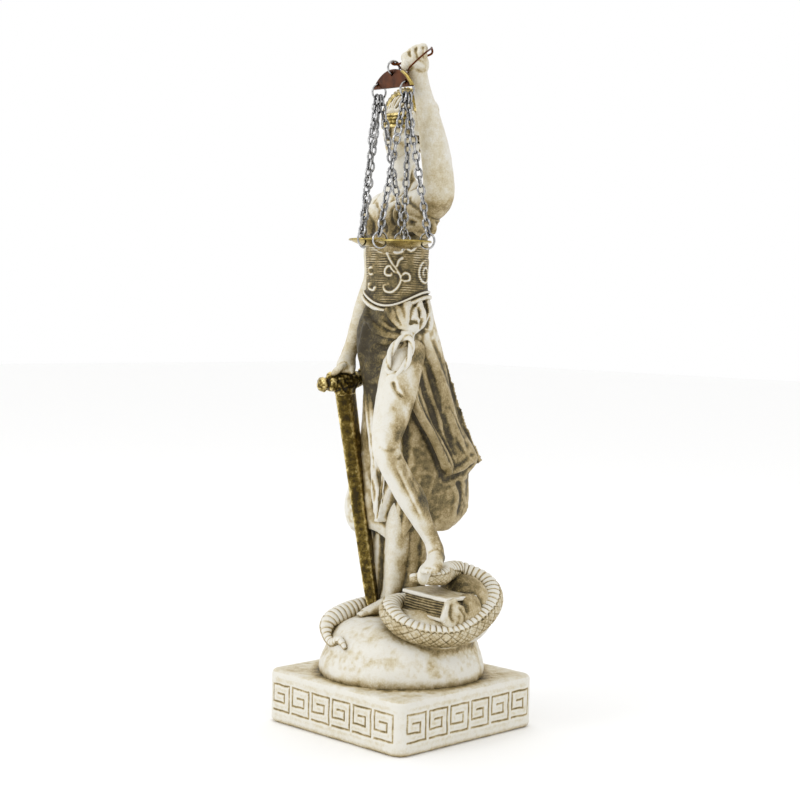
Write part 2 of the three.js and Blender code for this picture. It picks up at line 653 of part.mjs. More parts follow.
/** The closed book under the raised foot: two covers and a block of pages set back between them. */
function book() {
  const block = new THREE.BoxGeometry(
    BOOK_LENGTH - 2 * COVER_OVERHANG,
    BOOK_WIDTH - 2 * COVER_OVERHANG,
    BOOK_THICKNESS - COVER_THICKNESS,
  );
  const cover = (level) => {
    const board = new THREE.BoxGeometry(BOOK_LENGTH, BOOK_WIDTH, COVER_THICKNESS);
    board.translate(0, 0, level);
    return board;
  };
  const offset = (BOOK_THICKNESS - COVER_THICKNESS) / 2;
  const spine = new THREE.BoxGeometry(COVER_THICKNESS, BOOK_WIDTH, BOOK_THICKNESS);
  spine.translate((BOOK_LENGTH - COVER_THICKNESS) / 2, 0, 0);
  const tilt = new THREE.Euler(degrees(-2), degrees(3), degrees(3));
  const lie = new THREE.Matrix4().makeRotationFromEuler(tilt);
  lie.setPosition(fig(19.2, -1.0, 7.4));
  const parts = [block, cover(offset), cover(-offset), spine];
  return parts.map((part) => solidOf(part.applyMatrix4(lie)));
}

/** The ground that rises under the book and the snake. */
function bookRest() {
  return egg(fig(15.6, -1.0, -2.0), [14.5, 14.5, 9.5], { sides: 10 });
}

// The sword stands on its point beside the right foot
const swordTip = fig(-12.2, -3.0, 0.6);
const guardCentre = fig(-22.6, -10.8, 85.4);

/** The sword: a tapering blade of flat diamond section, the guard with balled ends, the grip and pommel. */
function sword() {
  const up = guardCentre.clone().sub(swordTip).normalize();
  const flat = new THREE.Vector3(0.12, 1, 0);
  const at = (share) => swordTip.clone().lerp(guardCentre, share);
  const section = (share, width) => ({ at: at(share), wide: width / 2, deep: BLADE_THICKNESS / 2 });
  const blade = limb([
    section(0, BLADE_WIDTH * 0.3),
    section(0.05, BLADE_WIDTH * BLADE_TAPER),
    section(1, BLADE_WIDTH),
  ], { across: flat, sides: 6, girth: 1 });
  const reach = flat.clone().cross(up).cross(up).negate().normalize();
  const guard = limb([-1, -0.9, -0.74, -0.58, 0.58, 0.74, 0.9, 1].map((share) => {
    const ball = Math.abs(share) > 0.7;
    const end = Math.abs(share) === 1 ? 0.45 : 1;
    const neck = Math.abs(share) === 0.74 ? 0.7 : 1;
    const thick = (ball ? 0.9 : 1) * GUARD_THICKNESS * 0.5 * end * neck;
    return { at: guardCentre.clone().addScaledVector(reach, (share * GUARD_LENGTH) / 2), wide: thick };
  }), { across: up, sides: 6, girth: 1 });
  const grip = limb([0, 4, 9].map((rise) => ({
    at: guardCentre.clone().addScaledVector(up, rise * figureScale),
    wide: 2.4,
  })), { sides: 6 });
  return [blade, guard, grip];
}

// The hanging scales: everything is placed from the fist
const wireReach = FIST_HALF * figureScale + WIRE_OUTSET;
const wireLeft = fist.clone().addScaledVector(fistAlong, wireReach);
const wireRight = fist.clone().addScaledVector(fistAlong, -wireReach + WIRE);
const beamDirection = new THREE.Vector3(0.97, -0.24, -0.05).normalize();
const ringHalf = RING_SIZE / 2 - RING_WIRE / 2;
const topRingHalf = TOP_RING_SIZE / 2 - RING_WIRE / 2;
const topRingCentre = wireLeft.clone()
  .add(new THREE.Vector3(-TOP_RING_ASIDE, -TOP_RING_FORWARD, 1.5 * WIRE - topRingHalf));
const beamTop = topRingCentre.clone().add(new THREE.Vector3(0, 0, RING_SEAT - topRingHalf));

/** The bore through the fist that the wire runs in. */
function wireBore() {
  const radius = WIRE / 2 + CLEARANCE;
  const bore = new THREE.CylinderGeometry(radius, radius, 24 * figureScale, 8);
  bore.applyQuaternion(new THREE.Quaternion().setFromUnitVectors(new THREE.Vector3(0, 1, 0), fistAlong));
  bore.translate(fist.x, fist.y, fist.z);
  return solidOf(bore);
}

function castStatue() {
  const figure = [
    torso(), ...bust(), corset(), ...corsetScrolls(), ...head(),
    ...raisedArm(), leftSleeve(), ...loweredArm(),
    skirt(), ...hipSwags(), ...loopAndKnot(), capeFront(), underSkirt(), frontFall(),
    ...raisedLeg(), ...standingLeg(),
  ];
  const ground = [plinth(), mound(), bookRest(), ...book(), ...snake()];
  return joined([...ground, ...sword(), ...figure]).subtract(wireBore());
}

/** A ring of round wire about an axis. */
function wireRing(centre, size, wire, axis) {
  const ring = new THREE.TorusGeometry(size / 2 - wire / 2, wire / 2, RING_SIDES, RING_STEPS);
  ring.applyQuaternion(new THREE.Quaternion().setFromUnitVectors(UP, axis.clone().normalize()));
  ring.translate(centre.x, centre.y, centre.z);
  return solidOf(ring);
}

/** The copper wire: in through the fist, round through the top ring, and back up to its twisted end. */
function hangerWire() {
  const insideTop = topRingHalf - RING_WIRE / 2 - WIRE / 2 - CLEARANCE;
  const through = topRingCentre.clone().addScaledVector(UP, insideTop);
  const route = new THREE.CatmullRomCurve3([
    wireRight.clone().add(new THREE.Vector3(0.3, -0.2, WIRE_HOOK)),
    wireRight,
    fist.clone(),
    wireLeft,
    through.clone().add(new THREE.Vector3(-0.6, -0.6, 0.4)),
  ]);
  const steps = 9;
  const stations = route.getPoints(steps).map((at) => ({ at, wide: WIRE / 2 }));
  return limb(stations, { across: UP, sides: 5, girth: 1 });
}

/** The half-moon beam: a flat plate with a hole at its crown and one at each tip. */
function beamPlate() {
  const half = BEAM_SPAN / 2;
  const bow = (half * half + BEAM_RISE * BEAM_RISE) / (2 * BEAM_RISE);
  const sweep = Math.asin(half / bow);
  const outline = new THREE.Shape();
  outline.absarc(0, BEAM_RISE - bow, bow, Math.PI / 2 - sweep, Math.PI / 2 + sweep);
  outline.closePath();
  const crownHole = [0, BEAM_RISE - BEAM_HOLE_INSET];
  for (const [x, y] of [crownHole, [beamTip, BEAM_HOLE_INSET], [-beamTip, BEAM_HOLE_INSET]]) {
    const hole = new THREE.Path();
    hole.absarc(x, y, BEAM_HOLE / 2, 0, TURN, true);
    outline.holes.push(hole);
  }
  const plate = new THREE.ExtrudeGeometry(outline, {
    depth: BEAM_THICKNESS,
    bevelEnabled: false,
    curveSegments: 5,
  });
  plate.translate(0, -(BEAM_RISE - BEAM_HOLE_INSET), -BEAM_THICKNESS / 2);
  const facingOut = new THREE.Vector3().crossVectors(beamDirection, UP).normalize();
  const upright = facingOut.clone().cross(beamDirection).normalize();
  plate.applyMatrix4(new THREE.Matrix4().makeBasis(beamDirection, upright, facingOut));
  plate.translate(beamTop.x, beamTop.y, beamTop.z);
  return { solid: solidOf(plate), upright };
}

/** One link as a frame of three-sided wire with its sharp edge inwards, stood upright by a matrix. */
function linkFrame(halfWidth, halfLength, radius, place) {
  const corners = [];
  const faces = [];
  const outerWidth = halfWidth + radius / 2;
  const outerLength = halfLength + radius / 2;
  [[1, 1], [-1, 1], [-1, -1], [1, -1]].forEach(([x, y], c) => {
    corners.push(new THREE.Vector3(x * (halfWidth - radius), y * (halfLength - radius), 0));
    for (const side of [1, -1]) {
      corners.push(new THREE.Vector3(x * outerWidth, y * outerLength, side * radius));
    }
    for (let k = 0; k < 3; k += 1) {
      const [here, next] = [3 * c + k, 3 * c + ((k + 1) % 3)];
      const [there, beyond] = [(here + 3) % 12, (next + 3) % 12];
      faces.push([here, there, next], [next, there, beyond]);
    }
  });
  for (const corner of corners) corner.applyMatrix4(place);
  return closedSolid(corners, faces);
}

/**
 * A chain of fused links from one point down to another. Each link is turned a quarter from the last,
 * and the whole chain twists a little so that its end links open towards the rings that they hang on.
 */
function chain(from, to, acrossTop, acrossBottom) {
  const length = from.distanceTo(to);
  const links = Math.max(2, Math.round(length / CHAIN_PITCH));
  const halfLength = (length / links + LINK_LAP) / 2;
  const halfWidth = (CHAIN_WIDTH - CHAIN_WIRE) / 2;
  const along = to.clone().sub(from).normalize();
  const upright = new THREE.Quaternion().setFromUnitVectors(new THREE.Vector3(0, 1, 0), along);
  const first = new THREE.Vector3(1, 0, 0).applyQuaternion(upright);
  const second = along.clone().cross(first);
  const rollOf = (across) => Math.atan2(across.dot(second), across.dot(first));
  const start = rollOf(acrossTop);
  const quarter = Math.PI / 2;
  const astray = rollOf(acrossBottom) - start - links * quarter;
  const twist = astray - Math.PI * Math.round(astray / Math.PI);
  const solids = Array.from({ length: links + 1 }, (_, i) => {
    const roll = start + i * quarter + (twist * i) / links;
    const turn = new THREE.Quaternion().setFromAxisAngle(along, roll).multiply(upright);
    const at = from.clone().lerp(to, i / links);
    const place = new THREE.Matrix4().compose(at, turn, new THREE.Vector3(1, 1, 1));
    return linkFrame(halfWidth, halfLength, CHAIN_WIRE / 2, place);
  });
  return joined(solids);
}

// The two pans hang under the beam's tips with a small gap between their rims
const beamTip = BEAM_SPAN / 2 - BEAM_HOLE_INSET - BEAM_HOLE / 2 - BEAM_TIP_MARGIN;
const panHalf = beamTip - PAN_GAP / 2;

// A pan is a shallow bowl, part of a sphere of this radius
const panBow = (panHalf * panHalf + PAN_DEPTH * PAN_DEPTH) / (2 * PAN_DEPTH);

/** How far under the rim the middle of the pan's wall lies at a distance from its centre. */
function panFall(reach) {
  return PAN_DEPTH - panBow + Math.sqrt(panBow * panBow - reach * reach) - PAN_WALL / 2;
}

/** Where a ring centred on the rim goes down through the pan. */
function panHoleReach() {
  const fall = PAN_RING_RISE + panFall(panHalf - ringHalf);
  return panHalf - Math.sqrt(ringHalf * ringHalf - fall * fall);
}

/** A shallow bowl with holes for its three rings. */
function pan(centre, turns) {
  const inner = panBow - PAN_WALL;
  const sweep = Math.asin(panHalf / panBow);
  const steps = 2;
  const profile = [];
  for (let i = 0; i <= steps; i += 1) {
    const turn = (sweep * i) / steps;
    profile.push(new THREE.Vector2(panBow * Math.sin(turn), panBow - panBow * Math.cos(turn)));
  }
  for (let i = steps; i >= 0; i -= 1) {
    const turn = (sweep * i) / steps;
    profile.push(new THREE.Vector2(inner * Math.sin(turn), panBow - inner * Math.cos(turn)));
  }
  profile[0].x = 0;
  profile[profile.length - 1].x = 0;
  const bowl = new THREE.LatheGeometry(profile, PAN_SIDES);
  bowl.rotateX(Math.PI / 2);
  bowl.translate(centre.x, centre.y, centre.z - PAN_DEPTH);
  const reach = panHoleReach();
  const holes = turns.map((turn) => {
    const hole = new THREE.CylinderGeometry(PAN_HOLE / 2, PAN_HOLE / 2, 2 * PAN_DEPTH, 6);
    hole.rotateX(Math.PI / 2);
    hole.rotateZ(turn);
    hole.translate(centre.x + reach * Math.cos(turn), centre.y + reach * Math.sin(turn), centre.z);
    return solidOf(hole);
  });
  return cut(solidOf(bowl), holes);
}

/** One side of the scales: the beam's ring, three chains, their rings and the pan. */
function scaleSide(name, ringCentre, ringAxis, panCentre, firstTurn) {
  const beamRing = wireRing(ringCentre, RING_SIZE, RING_WIRE, ringAxis);
  const pieces = [piece(`${name}_beam_ring`, beamRing, 'steel')];
  const sideways = ringAxis.clone().cross(UP).normalize();
  const start = degrees(firstTurn);
  const turns = Array.from({ length: CHAINS_PER_PAN }, (_, i) => start + (TURN * i) / CHAINS_PER_PAN);
  const outward = turns.map((turn) => new THREE.Vector3(Math.cos(turn), Math.sin(turn), 0));
  const order = outward.map((out) => out.dot(sideways)).sort((a, b) => a - b);
  pieces.push(piece(`${name}_pan`, pan(panCentre, turns), 'brass'));
  outward.forEach((out, i) => {
    const rim = panCentre.clone().addScaledVector(out, panHalf);
    rim.z += PAN_RING_RISE;
    const tangent = out.clone().cross(UP);
    pieces.push(piece(`${name}_pan_ring_${i + 1}`, wireRing(rim, RING_SIZE, RING_WIRE, tangent), 'steel'));
    const grip = degrees(CHAIN_SPREAD) * (order.indexOf(out.dot(sideways)) - (CHAINS_PER_PAN - 1) / 2);
    const hang = ringCentre.clone()
      .addScaledVector(sideways, ringHalf * Math.sin(grip))
      .addScaledVector(UP, -ringHalf * Math.cos(grip) - LINK_SEAT);
    const bottom = rim.clone().addScaledVector(UP, ringHalf + LINK_SEAT);
    pieces.push(piece(`${name}_chain_${i + 1}`, chain(hang, bottom, ringAxis, tangent), 'steel'));
  });
  return pieces;
}

function hangingScales() {
  const beam = beamPlate();
  const pieces = [
    piece('hanger_wire', hangerWire(), 'copper'),
    piece('scale_beam', beam.solid, 'copper'),
    piece('top_ring', wireRing(topRingCentre, TOP_RING_SIZE, RING_WIRE, beamDirection), 'steel'),
  ];
  for (const [name, way, firstTurn] of [['right', -1, 45], ['left', 1, 15]]) {
    const hole = beamTop.clone()
      .addScaledVector(beamDirection, way * beamTip)
      .addScaledVector(beam.upright, -(BEAM_RISE - 2 * BEAM_HOLE_INSET));
    const ringCentre = hole.clone().addScaledVector(UP, RING_SEAT - ringHalf);
    const panCentre = ringCentre.clone().add(new THREE.Vector3(0, 0, -PAN_DROP));
    pieces.push(...scaleSide(name, ringCentre, beamDirection, panCentre, firstTurn));
  }
  return pieces;
}

const group = new THREE.Group();
group.add(piece('cast_statue', castStatue(), 'cast'));
group.add(...hangingScales());

export default group;
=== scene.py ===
# Cast justice statuette: ivory resin with an olive-brown antique wash, gilt sword, blindfold and diadem,
# and a set of small scales hung from the raised fist. Shapes are worked out in millimetres, then made in
# metres.
import itertools
import math

import bmesh
import bpy
import numpy as np
from mathutils import Matrix, Vector


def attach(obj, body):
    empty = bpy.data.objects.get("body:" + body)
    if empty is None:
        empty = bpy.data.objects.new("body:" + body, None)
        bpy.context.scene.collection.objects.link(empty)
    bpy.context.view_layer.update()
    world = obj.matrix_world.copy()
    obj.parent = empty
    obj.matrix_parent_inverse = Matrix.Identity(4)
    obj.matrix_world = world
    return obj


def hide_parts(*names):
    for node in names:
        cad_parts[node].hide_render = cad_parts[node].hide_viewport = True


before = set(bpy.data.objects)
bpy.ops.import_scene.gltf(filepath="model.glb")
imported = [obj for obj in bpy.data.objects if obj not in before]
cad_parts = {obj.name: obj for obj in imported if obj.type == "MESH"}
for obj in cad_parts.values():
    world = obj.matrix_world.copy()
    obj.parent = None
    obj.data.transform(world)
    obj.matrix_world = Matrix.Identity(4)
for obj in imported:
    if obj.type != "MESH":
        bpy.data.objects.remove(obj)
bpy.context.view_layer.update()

MM = 0.001
TURN = 2 * math.pi
UP = np.array([0.0, 0.0, 1.0])

# Casting
PLINTH_WIDTH = 70.0
PLINTH_HEIGHT = 19.3
PLINTH_CORNER = 5.0
PLINTH_EDGE = 1.7
KEY_PITCH = 10.7
KEY_WIDTH = 8.8
KEY_HEIGHT = 9.4
KEYS_PER_SIDE = 6
MOUND_RADIUS = 29.3
MOUND_HEIGHT = 20.5
SOLES = PLINTH_HEIGHT + MOUND_HEIGHT
SNAKE_THICKNESS = 8.0
TAIL_THICKNESS = 6.6

# Photograph's camera: its place in millimetres and its picture's centre and focal length in pixels
VIEW_AZIMUTH = math.radians(44.941)
VIEW_DISTANCE = 592.329
VIEW_HEIGHT = 152.425
VIEW_AIM = np.array([0.0, 0.0, 125.0])
VIEW_ROLL = math.radians(1.305)
VIEW_FOCUS = 1623.02
VIEW_CENTRE = (407.695, 384.311)
PICTURE = 800
SENSOR = 36.0

eye = VIEW_DISTANCE * np.array([math.sin(VIEW_AZIMUTH), -math.cos(VIEW_AZIMUTH), 0]) + VIEW_HEIGHT * UP
forward = (VIEW_AIM - eye) / np.linalg.norm(VIEW_AIM - eye)
level = np.cross(forward, UP)
level /= np.linalg.norm(level)
rise = np.cross(level, forward)
view_right = level * math.cos(VIEW_ROLL) + rise * math.sin(VIEW_ROLL)
view_up = rise * math.cos(VIEW_ROLL) - level * math.sin(VIEW_ROLL)


def photo(points):
    """Where points in millimetres fall in the photograph, in pixels."""
    away = points - eye
    depth = away @ forward
    across = VIEW_CENTRE[0] + VIEW_FOCUS * (away @ view_right) / depth
    down = VIEW_CENTRE[1] - VIEW_FOCUS * (away @ view_up) / depth
    return np.stack([across, down], axis=-1)


# Curves and shells

def unit(vectors):
    return vectors / np.maximum(np.linalg.norm(vectors, axis=-1, keepdims=True), 1e-9)


def between(a, b, c, d, u):
    """A share u of the way from b to c, on a smooth curve that also passes a before and d after them."""
    return 0.5 * (2 * b + (c - a) * u + (2 * a - 5 * b + 4 * c - d) * u**2 + (3 * b - a - 3 * c + d) * u**3)


def spline(rows, count):
    """Rows of numbers sampled evenly along a smooth curve through them."""
    rows = np.asarray(rows, float)
    last = len(rows) - 1
    spots = np.linspace(0, last, count)
    start = np.minimum(spots.astype(int), last - 1)
    return between(*(rows[np.clip(start + k, 0, last)] for k in (-1, 0, 1, 2)), (spots - start)[:, None])


def even(rows, step):
    """The same curve sampled about every step millimetres."""
    fine = spline(rows, 40 * len(rows))
    gone = np.concatenate([[0], np.cumsum(np.linalg.norm(np.diff(fine[:, :3], axis=0), axis=1))])
    marks = np.linspace(0, gone[-1], max(4, int(gone[-1] / step) + 1))
    return np.stack([np.interp(marks, gone, fine[:, k]) for k in range(fine.shape[1])], axis=1)


def lift(rows):
    """Rows whose heights count from the soles, moved into the part's own frame."""
    out = np.array(rows, float)
    out[..., 2] += SOLES
    return out


def shell(rings, closed=False):
    """Corners and faces of a body through rings of points, its ends drawn to their centres."""
    count, sides = rings.shape[:2]
    corners = rings.reshape(-1, 3)
    index = np.arange(count * sides).reshape(count, sides)
    beside = np.roll(index, -1, axis=1)
    upper, upper_beside = np.roll(index, -1, axis=0), np.roll(beside, -1, axis=0)
    last = count if closed else count - 1
    faces = np.stack([index, beside, upper_beside, upper], axis=-1)[:last].reshape(-1, 4).tolist()
    if not closed:
        for ring, turned in ((0, True), (count - 1, False)):
            hub = len(corners)
            corners = np.vstack([corners, rings[ring].mean(axis=0)])
            for a, b in zip(index[ring].tolist(), beside[ring].tolist()):
                faces.append([b, a, hub] if turned else [a, b, hub])
    return corners, faces


def tube(rows, across=(1, 0, 0), sides=28, step=1.0, relief=None):
    """A limb through rows of x, y, z, half width and half depth, each ring square to the path."""
    rows = np.array([(*row, row[3]) if len(row) == 4 else tuple(row) for row in rows], float)
    path = even(rows, step)
    along = unit(np.gradient(path[:, :3], axis=0))
    depthwise = unit(np.cross(along, np.broadcast_to(np.array(across, float), along.shape)))
    widthwise = unit(np.cross(depthwise, along))
    turn = np.linspace(0, TURN, sides, endpoint=False)[None, :, None]
    reach = 1 if relief is None else relief(turn[..., 0], np.linspace(0, 1, len(path))[:, None])[..., None]
    rings = (path[:, None, :3] + reach * path[:, None, 3:4] * np.cos(turn) * widthwise[:, None]
             + reach * path[:, None, 4:5] * np.sin(turn) * depthwise[:, None])
    return shell(rings)


def limb(rows, **how):
    return tube(lift(rows), **how)


def trunk(rows, sides=72, step=1.0, shape=None, dip=None):
    """A body of level rings through rows of x, y, z, half width along X and half depth along Y."""
    path = even(lift(rows), step)
    turn = np.linspace(0, TURN, sides, endpoint=False)[None]
    share = np.linspace(0, 1, len(path))[:, None]
    reach = np.ones((len(path), sides)) if shape is None else shape(turn, share)
    x = path[:, 0:1] + path[:, 3:4] * reach * np.cos(turn)
    y = path[:, 1:2] + path[:, 4:5] * reach * np.sin(turn)
    z = path[:, 2:3] + (0 * turn if dip is None else dip(turn))
    return shell(np.stack([x, y, z], axis=-1))


def egg(at, size, lean=(0, 0, 1), sides=20, rings=12):
    """An egg-shaped body at a point of the figure, its long way along a direction."""
    lean = unit(np.array(lean, float))
    side = unit(np.cross(lean, (0, 1, 0) if abs(lean[1]) < 0.9 else (1, 0, 0)))
    other = np.cross(lean, side)
    polar = np.linspace(0.02, math.pi - 0.02, rings)[:, None, None]
    turn = np.linspace(0, TURN, sides, endpoint=False)[None, :, None]
    points = (size[0] * np.sin(polar) * np.cos(turn) * side + size[1] * np.sin(polar) * np.sin(turn) * other
              - size[2] * np.cos(polar) * lean)
    return shell(points + lift([at])[0])


def hoop(centres, outward, thick, tall, sides):
    """A closed band along a ring of centres: thick goes outward and tall goes square to both."""
    along = unit(np.roll(centres, -1, axis=0) - np.roll(centres, 1, axis=0))
    outward = unit(outward - (outward * along).sum(axis=1, keepdims=True) * along)
    upward = np.cross(along, outward)
    turn = np.linspace(0, TURN, sides, endpoint=False)[None, :, None]
    rings = centres[:, None] + thick * np.cos(turn) * outward[:, None]
    return shell(rings + tall * np.sin(turn) * upward[:, None], closed=True)


# Meshes

def make(name, shells):
    """One object from several closed shells, in millimetres."""
    corners, faces = [], []
    for points, polygons in shells:
        start = len(corners)
        corners.extend(points.tolist())
        faces.extend([[start + i for i in polygon] for polygon in polygons])
    mesh = bpy.data.meshes.new(name)
    mesh.from_pydata(corners, [], faces)
    mesh.validate()
    thing = bpy.data.objects.new(name, mesh)
    bpy.context.scene.collection.objects.link(thing)
    return thing


def only(thing):
    bpy.ops.object.select_all(action="DESELECT")
    thing.select_set(True)
    bpy.context.view_layer.objects.active = thing


def modify(thing, kind, **values):
    """Adds one modifier and applies it."""
    only(thing)
    modifier = thing.modifiers.new(kind.lower(), kind)
    for key, value in values.items():
        setattr(modifier, key, value)
    bpy.ops.object.modifier_apply(modifier=modifier.name)


def one_skin(thing, voxel, soften=3):
    """Joins interlocking shells into one even skin and softens where they meet."""
    modify(thing, "REMESH", mode="VOXEL", voxel_size=voxel, use_smooth_shade=True)
    modify(thing, "SMOOTH", factor=0.5, iterations=soften)


def face_out(thing):
    mesh = bmesh.new()
    mesh.from_mesh(thing.data)
    bmesh.ops.recalc_face_normals(mesh, faces=mesh.faces)
    mesh.to_mesh(thing.data)
    mesh.free()


def read(thing):
    """A mesh's corner places and normals as two arrays."""
    count = len(thing.data.vertices)
    places = np.empty(count * 3, np.float32)
    thing.data.vertices.foreach_get("co", places)
    normals = np.empty(count * 3, np.float32)
    thing.data.vertex_normals.foreach_get("vector", normals)
    return places.reshape(-1, 3).astype(float), normals.reshape(-1, 3).astype(float)


def write(thing, places):
    thing.data.vertices.foreach_set("co", places.astype(np.float32).ravel())
    thing.data.update()


def averaged(thing, values, rounds):
    """Values at the corners, averaged with their neighbours again and again."""
    count = len(thing.data.vertices)
    ends = np.empty(len(thing.data.edges) * 2, np.int32)
    thing.data.edges.foreach_get("vertices", ends)
    a, b = ends[0::2], ends[1::2]
    near, far = np.concatenate([a, b]), np.concatenate([b, a])
    degree = np.maximum(np.bincount(near, minlength=count), 1)
    values = values.copy()
    for _ in range(rounds):
        for k in range(values.shape[1]):
            values[:, k] = np.bincount(near, values[far, k], count) / degree
    return values


def hollow(thing, rounds):
    """How deep in a hollow each corner lies, in millimetres; below 0 on a ridge."""
    places, normals = read(thing)
    return ((averaged(thing, places, rounds) - places) * normals).sum(axis=1)


NOISE_PRIMES = np.array([73856093, 19349663, 83492791])
NOISE_MIXER = 1274126177
NOISE_STEPS = 65536
SEED_SHIFT = 31.7


def grain(points, size, seed):
    """Smooth noise from -1 to 1 with lumps of about this size in millimetres."""
    spots = points / size + SEED_SHIFT * seed
    cell = np.floor(spots).astype(np.int64)
    part = spots - cell
    part = part * part * (3 - 2 * part)
    total = 0
    for corner in itertools.product((0, 1), repeat=3):
        key = np.bitwise_xor.reduce((cell + corner) * NOISE_PRIMES, axis=1)
        key = (key ^ (key >> 13)) * NOISE_MIXER & 0x7FFFFFFF
        value = (key ^ (key >> 16)) % NOISE_STEPS / (NOISE_STEPS / 2) - 1
        x, y, z = np.where(corner, part, 1 - part).T
        total = total + value * (x * y) * z
    return total


def roughen(thing, lumps):
    """Lumps of (height in mm, size in mm, seed) all over a skin."""
    places, normals = read(thing)
    push = sum(height * grain(places, size, seed) for height, size, seed in lumps)
    write(thing, places + normals * push[:, None])


def distance_to(points, path):
    """Each point's distance from a path and how far along the path it lies, from 0 to 1."""
    path = np.asarray(path, float)
    lengths = np.linalg.norm(np.diff(path, axis=0), axis=1)
    before = np.concatenate([[0], np.cumsum(lengths)])
    nearest = np.full(len(points), 1e9)
    share = np.zeros(len(points))
    for i in range(len(path) - 1):
        span = path[i + 1] - path[i]
        t = np.clip((points - path[i]) @ span / max(span @ span, 1e-9), 0, 1)
        away = np.linalg.norm(points - path[i] - t[:, None] * span, axis=1)
        closer = away < nearest
        nearest[closer] = away[closer]
        share[closer] = ((before[i] + t * lengths[i]) / before[-1])[closer]
    return nearest, share


def rounded_ridge(away, width):
    return np.exp(-((away / width) ** 2))


def folded_ridge(away, width):
    """A cloth fold: a narrow crest between two shallow valleys."""
    return np.exp(-((away / width) ** 2)) - 0.42 * np.exp(-((away / width - 1.9) ** 2) / 0.7)


def carve(thing, strokes, profile=folded_ridge, seen=True):
    """Raises or sinks a skin along strokes of (height in mm, width, path). Seen strokes are drawn on the
    photograph, in its pixels, and work on the skin that faces it; others are drawn on the figure itself."""
    places, normals = read(thing)
    flat = photo(places) if seen else places
    facing = np.clip(-(normals @ forward) * 2.2, 0, 1) if seen else 1
    push = np.zeros(len(places))
    for height, width, path in strokes:
        path = np.asarray(path, float) if seen else lift(path)
        path = spline(path, 6 * len(path))
        low, high = path.min(axis=0) - 4 * width, path.max(axis=0) + 4 * width
        near = np.flatnonzero(((flat > low) & (flat < high)).all(axis=1))
        if len(near) == 0:
            continue
        away, share = distance_to(flat[near], path)
        taper = np.clip(np.minimum(share, 1 - share) * 6, 0.12, 1) ** 0.7
        push[near] += height * taper * profile(away, width)
    write(thing, places + normals * (push * facing)[:, None])


def tone(thing, stain=0.12, hollows=1.0, crests=0.5):
    """Stores how dark the antique wash lies on each corner: a stain, more in hollows and less on crests."""
    fine, middle, broad = (hollow(thing, rounds) for rounds in (3, 14, 60))
    deep = (np.clip(fine / 0.05, -1, 1) * 0.2 + np.clip(middle / 0.22, -1, 1) * 0.3
            + np.clip(broad / 0.9, -1, 1) * 0.25)
    dark = stain + hollows * np.clip(deep, 0, 1) + crests * np.clip(deep, -1, 0)
    thing.data.attributes.new("wash_and_shade", "FLOAT", "POINT")
    store_wash_and_shade(thing, dark)


def store_wash_and_shade(thing, dark):
    layer = thing.data.attributes["wash_and_shade"]
    layer.data.foreach_set("value", np.clip(dark, 0, 1).astype(np.float32))


def add_wash_and_shade(thing, more):
    """Lays more wash, and in places painted shade, over what tone has stored."""
    dark = np.empty(len(thing.data.vertices), np.float32)
    thing.data.attributes["wash_and_shade"].data.foreach_get("value", dark)
    store_wash_and_shade(thing, dark + more)


def place(thing, node, material, angle=None):
    """Hands a finished piece over: metres, material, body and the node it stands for."""
    places, _ = read(thing)
    write(thing, places * MM)
    thing.data.materials.clear()
    thing.data.materials.append(material)
    only(thing)
    if angle is None:
        bpy.ops.object.shade_smooth()
    else:
        bpy.ops.object.shade_smooth_by_angle(angle=math.radians(angle))
    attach(thing, "root")
    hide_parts(node)


def place_casting(thing, material):
    place(thing, "cast_statue", material)


# Materials

def group(name, inputs, outputs):
    """An empty shader group with its sockets."""
    tree = bpy.data.node_groups.new(name, "ShaderNodeTree")
    for socket, kind in inputs:
        tree.interface.new_socket(socket, in_out="INPUT", socket_type=kind)
    for socket, kind in outputs:
        tree.interface.new_socket(socket, in_out="OUTPUT", socket_type=kind)
    return tree, tree.nodes.new("NodeGroupInput"), tree.nodes.new("NodeGroupOutput")


def put(tree, kind, links=(), **values):
    """A node with its properties set and its inputs linked or given."""
    node = tree.nodes.new(kind)
    for key, value in values.items():
        setattr(node, key, value)
    for socket, source in links:
        if hasattr(source, "links"):
            tree.links.new(source, node.inputs[socket])
        else:
            node.inputs[socket].default_value = source
    return node


def ramp(tree, source, stops):
    node = put(tree, "ShaderNodeValToRGB", [("Fac", source)])
    points = node.color_ramp.elements
    while len(points) < len(stops):
        points.new(0.5)
    for point, (at, colour) in zip(points, stops):
        point.position = at
        point.color = (*colour, 1)
    return node.outputs["Color"]


def math_node(tree, how, first, second, clamp=False):
    return put(tree, "ShaderNodeMath", [(0, first), (1, second)], operation=how, use_clamp=clamp).outputs[0]


def noise(tree, where, size, detail=3.0, rough=0.55):
    """Noise with lumps of about this size in millimetres."""
    node = put(tree, "ShaderNodeTexNoise", [("Vector", where), ("Scale", 1.0 / size), ("Detail", detail),
                                            ("Roughness", rough)])
    return node.outputs["Fac"]


IVORY = (0.74, 0.72, 0.65)
BONE = (0.62, 0.555, 0.4)
CREAM = (0.46, 0.365, 0.2)
OCHRE = (0.27, 0.2, 0.084)
OLIVE = (0.125, 0.097, 0.037)
UMBER = (0.042, 0.031, 0.013)
WASH_AND_SHADE_STEPS = [(0.0, IVORY), (0.16, BONE), (0.32, CREAM), (0.5, OCHRE), (0.74, OLIVE), (1.0, UMBER)]
GILT_STEPS = [
    (0.14, (0.02, 0.013, 0.004)), (0.42, (0.055, 0.037, 0.008)), (0.64, (0.22, 0.155, 0.034)),
    (0.84, (0.9, 0.74, 0.34)),
]


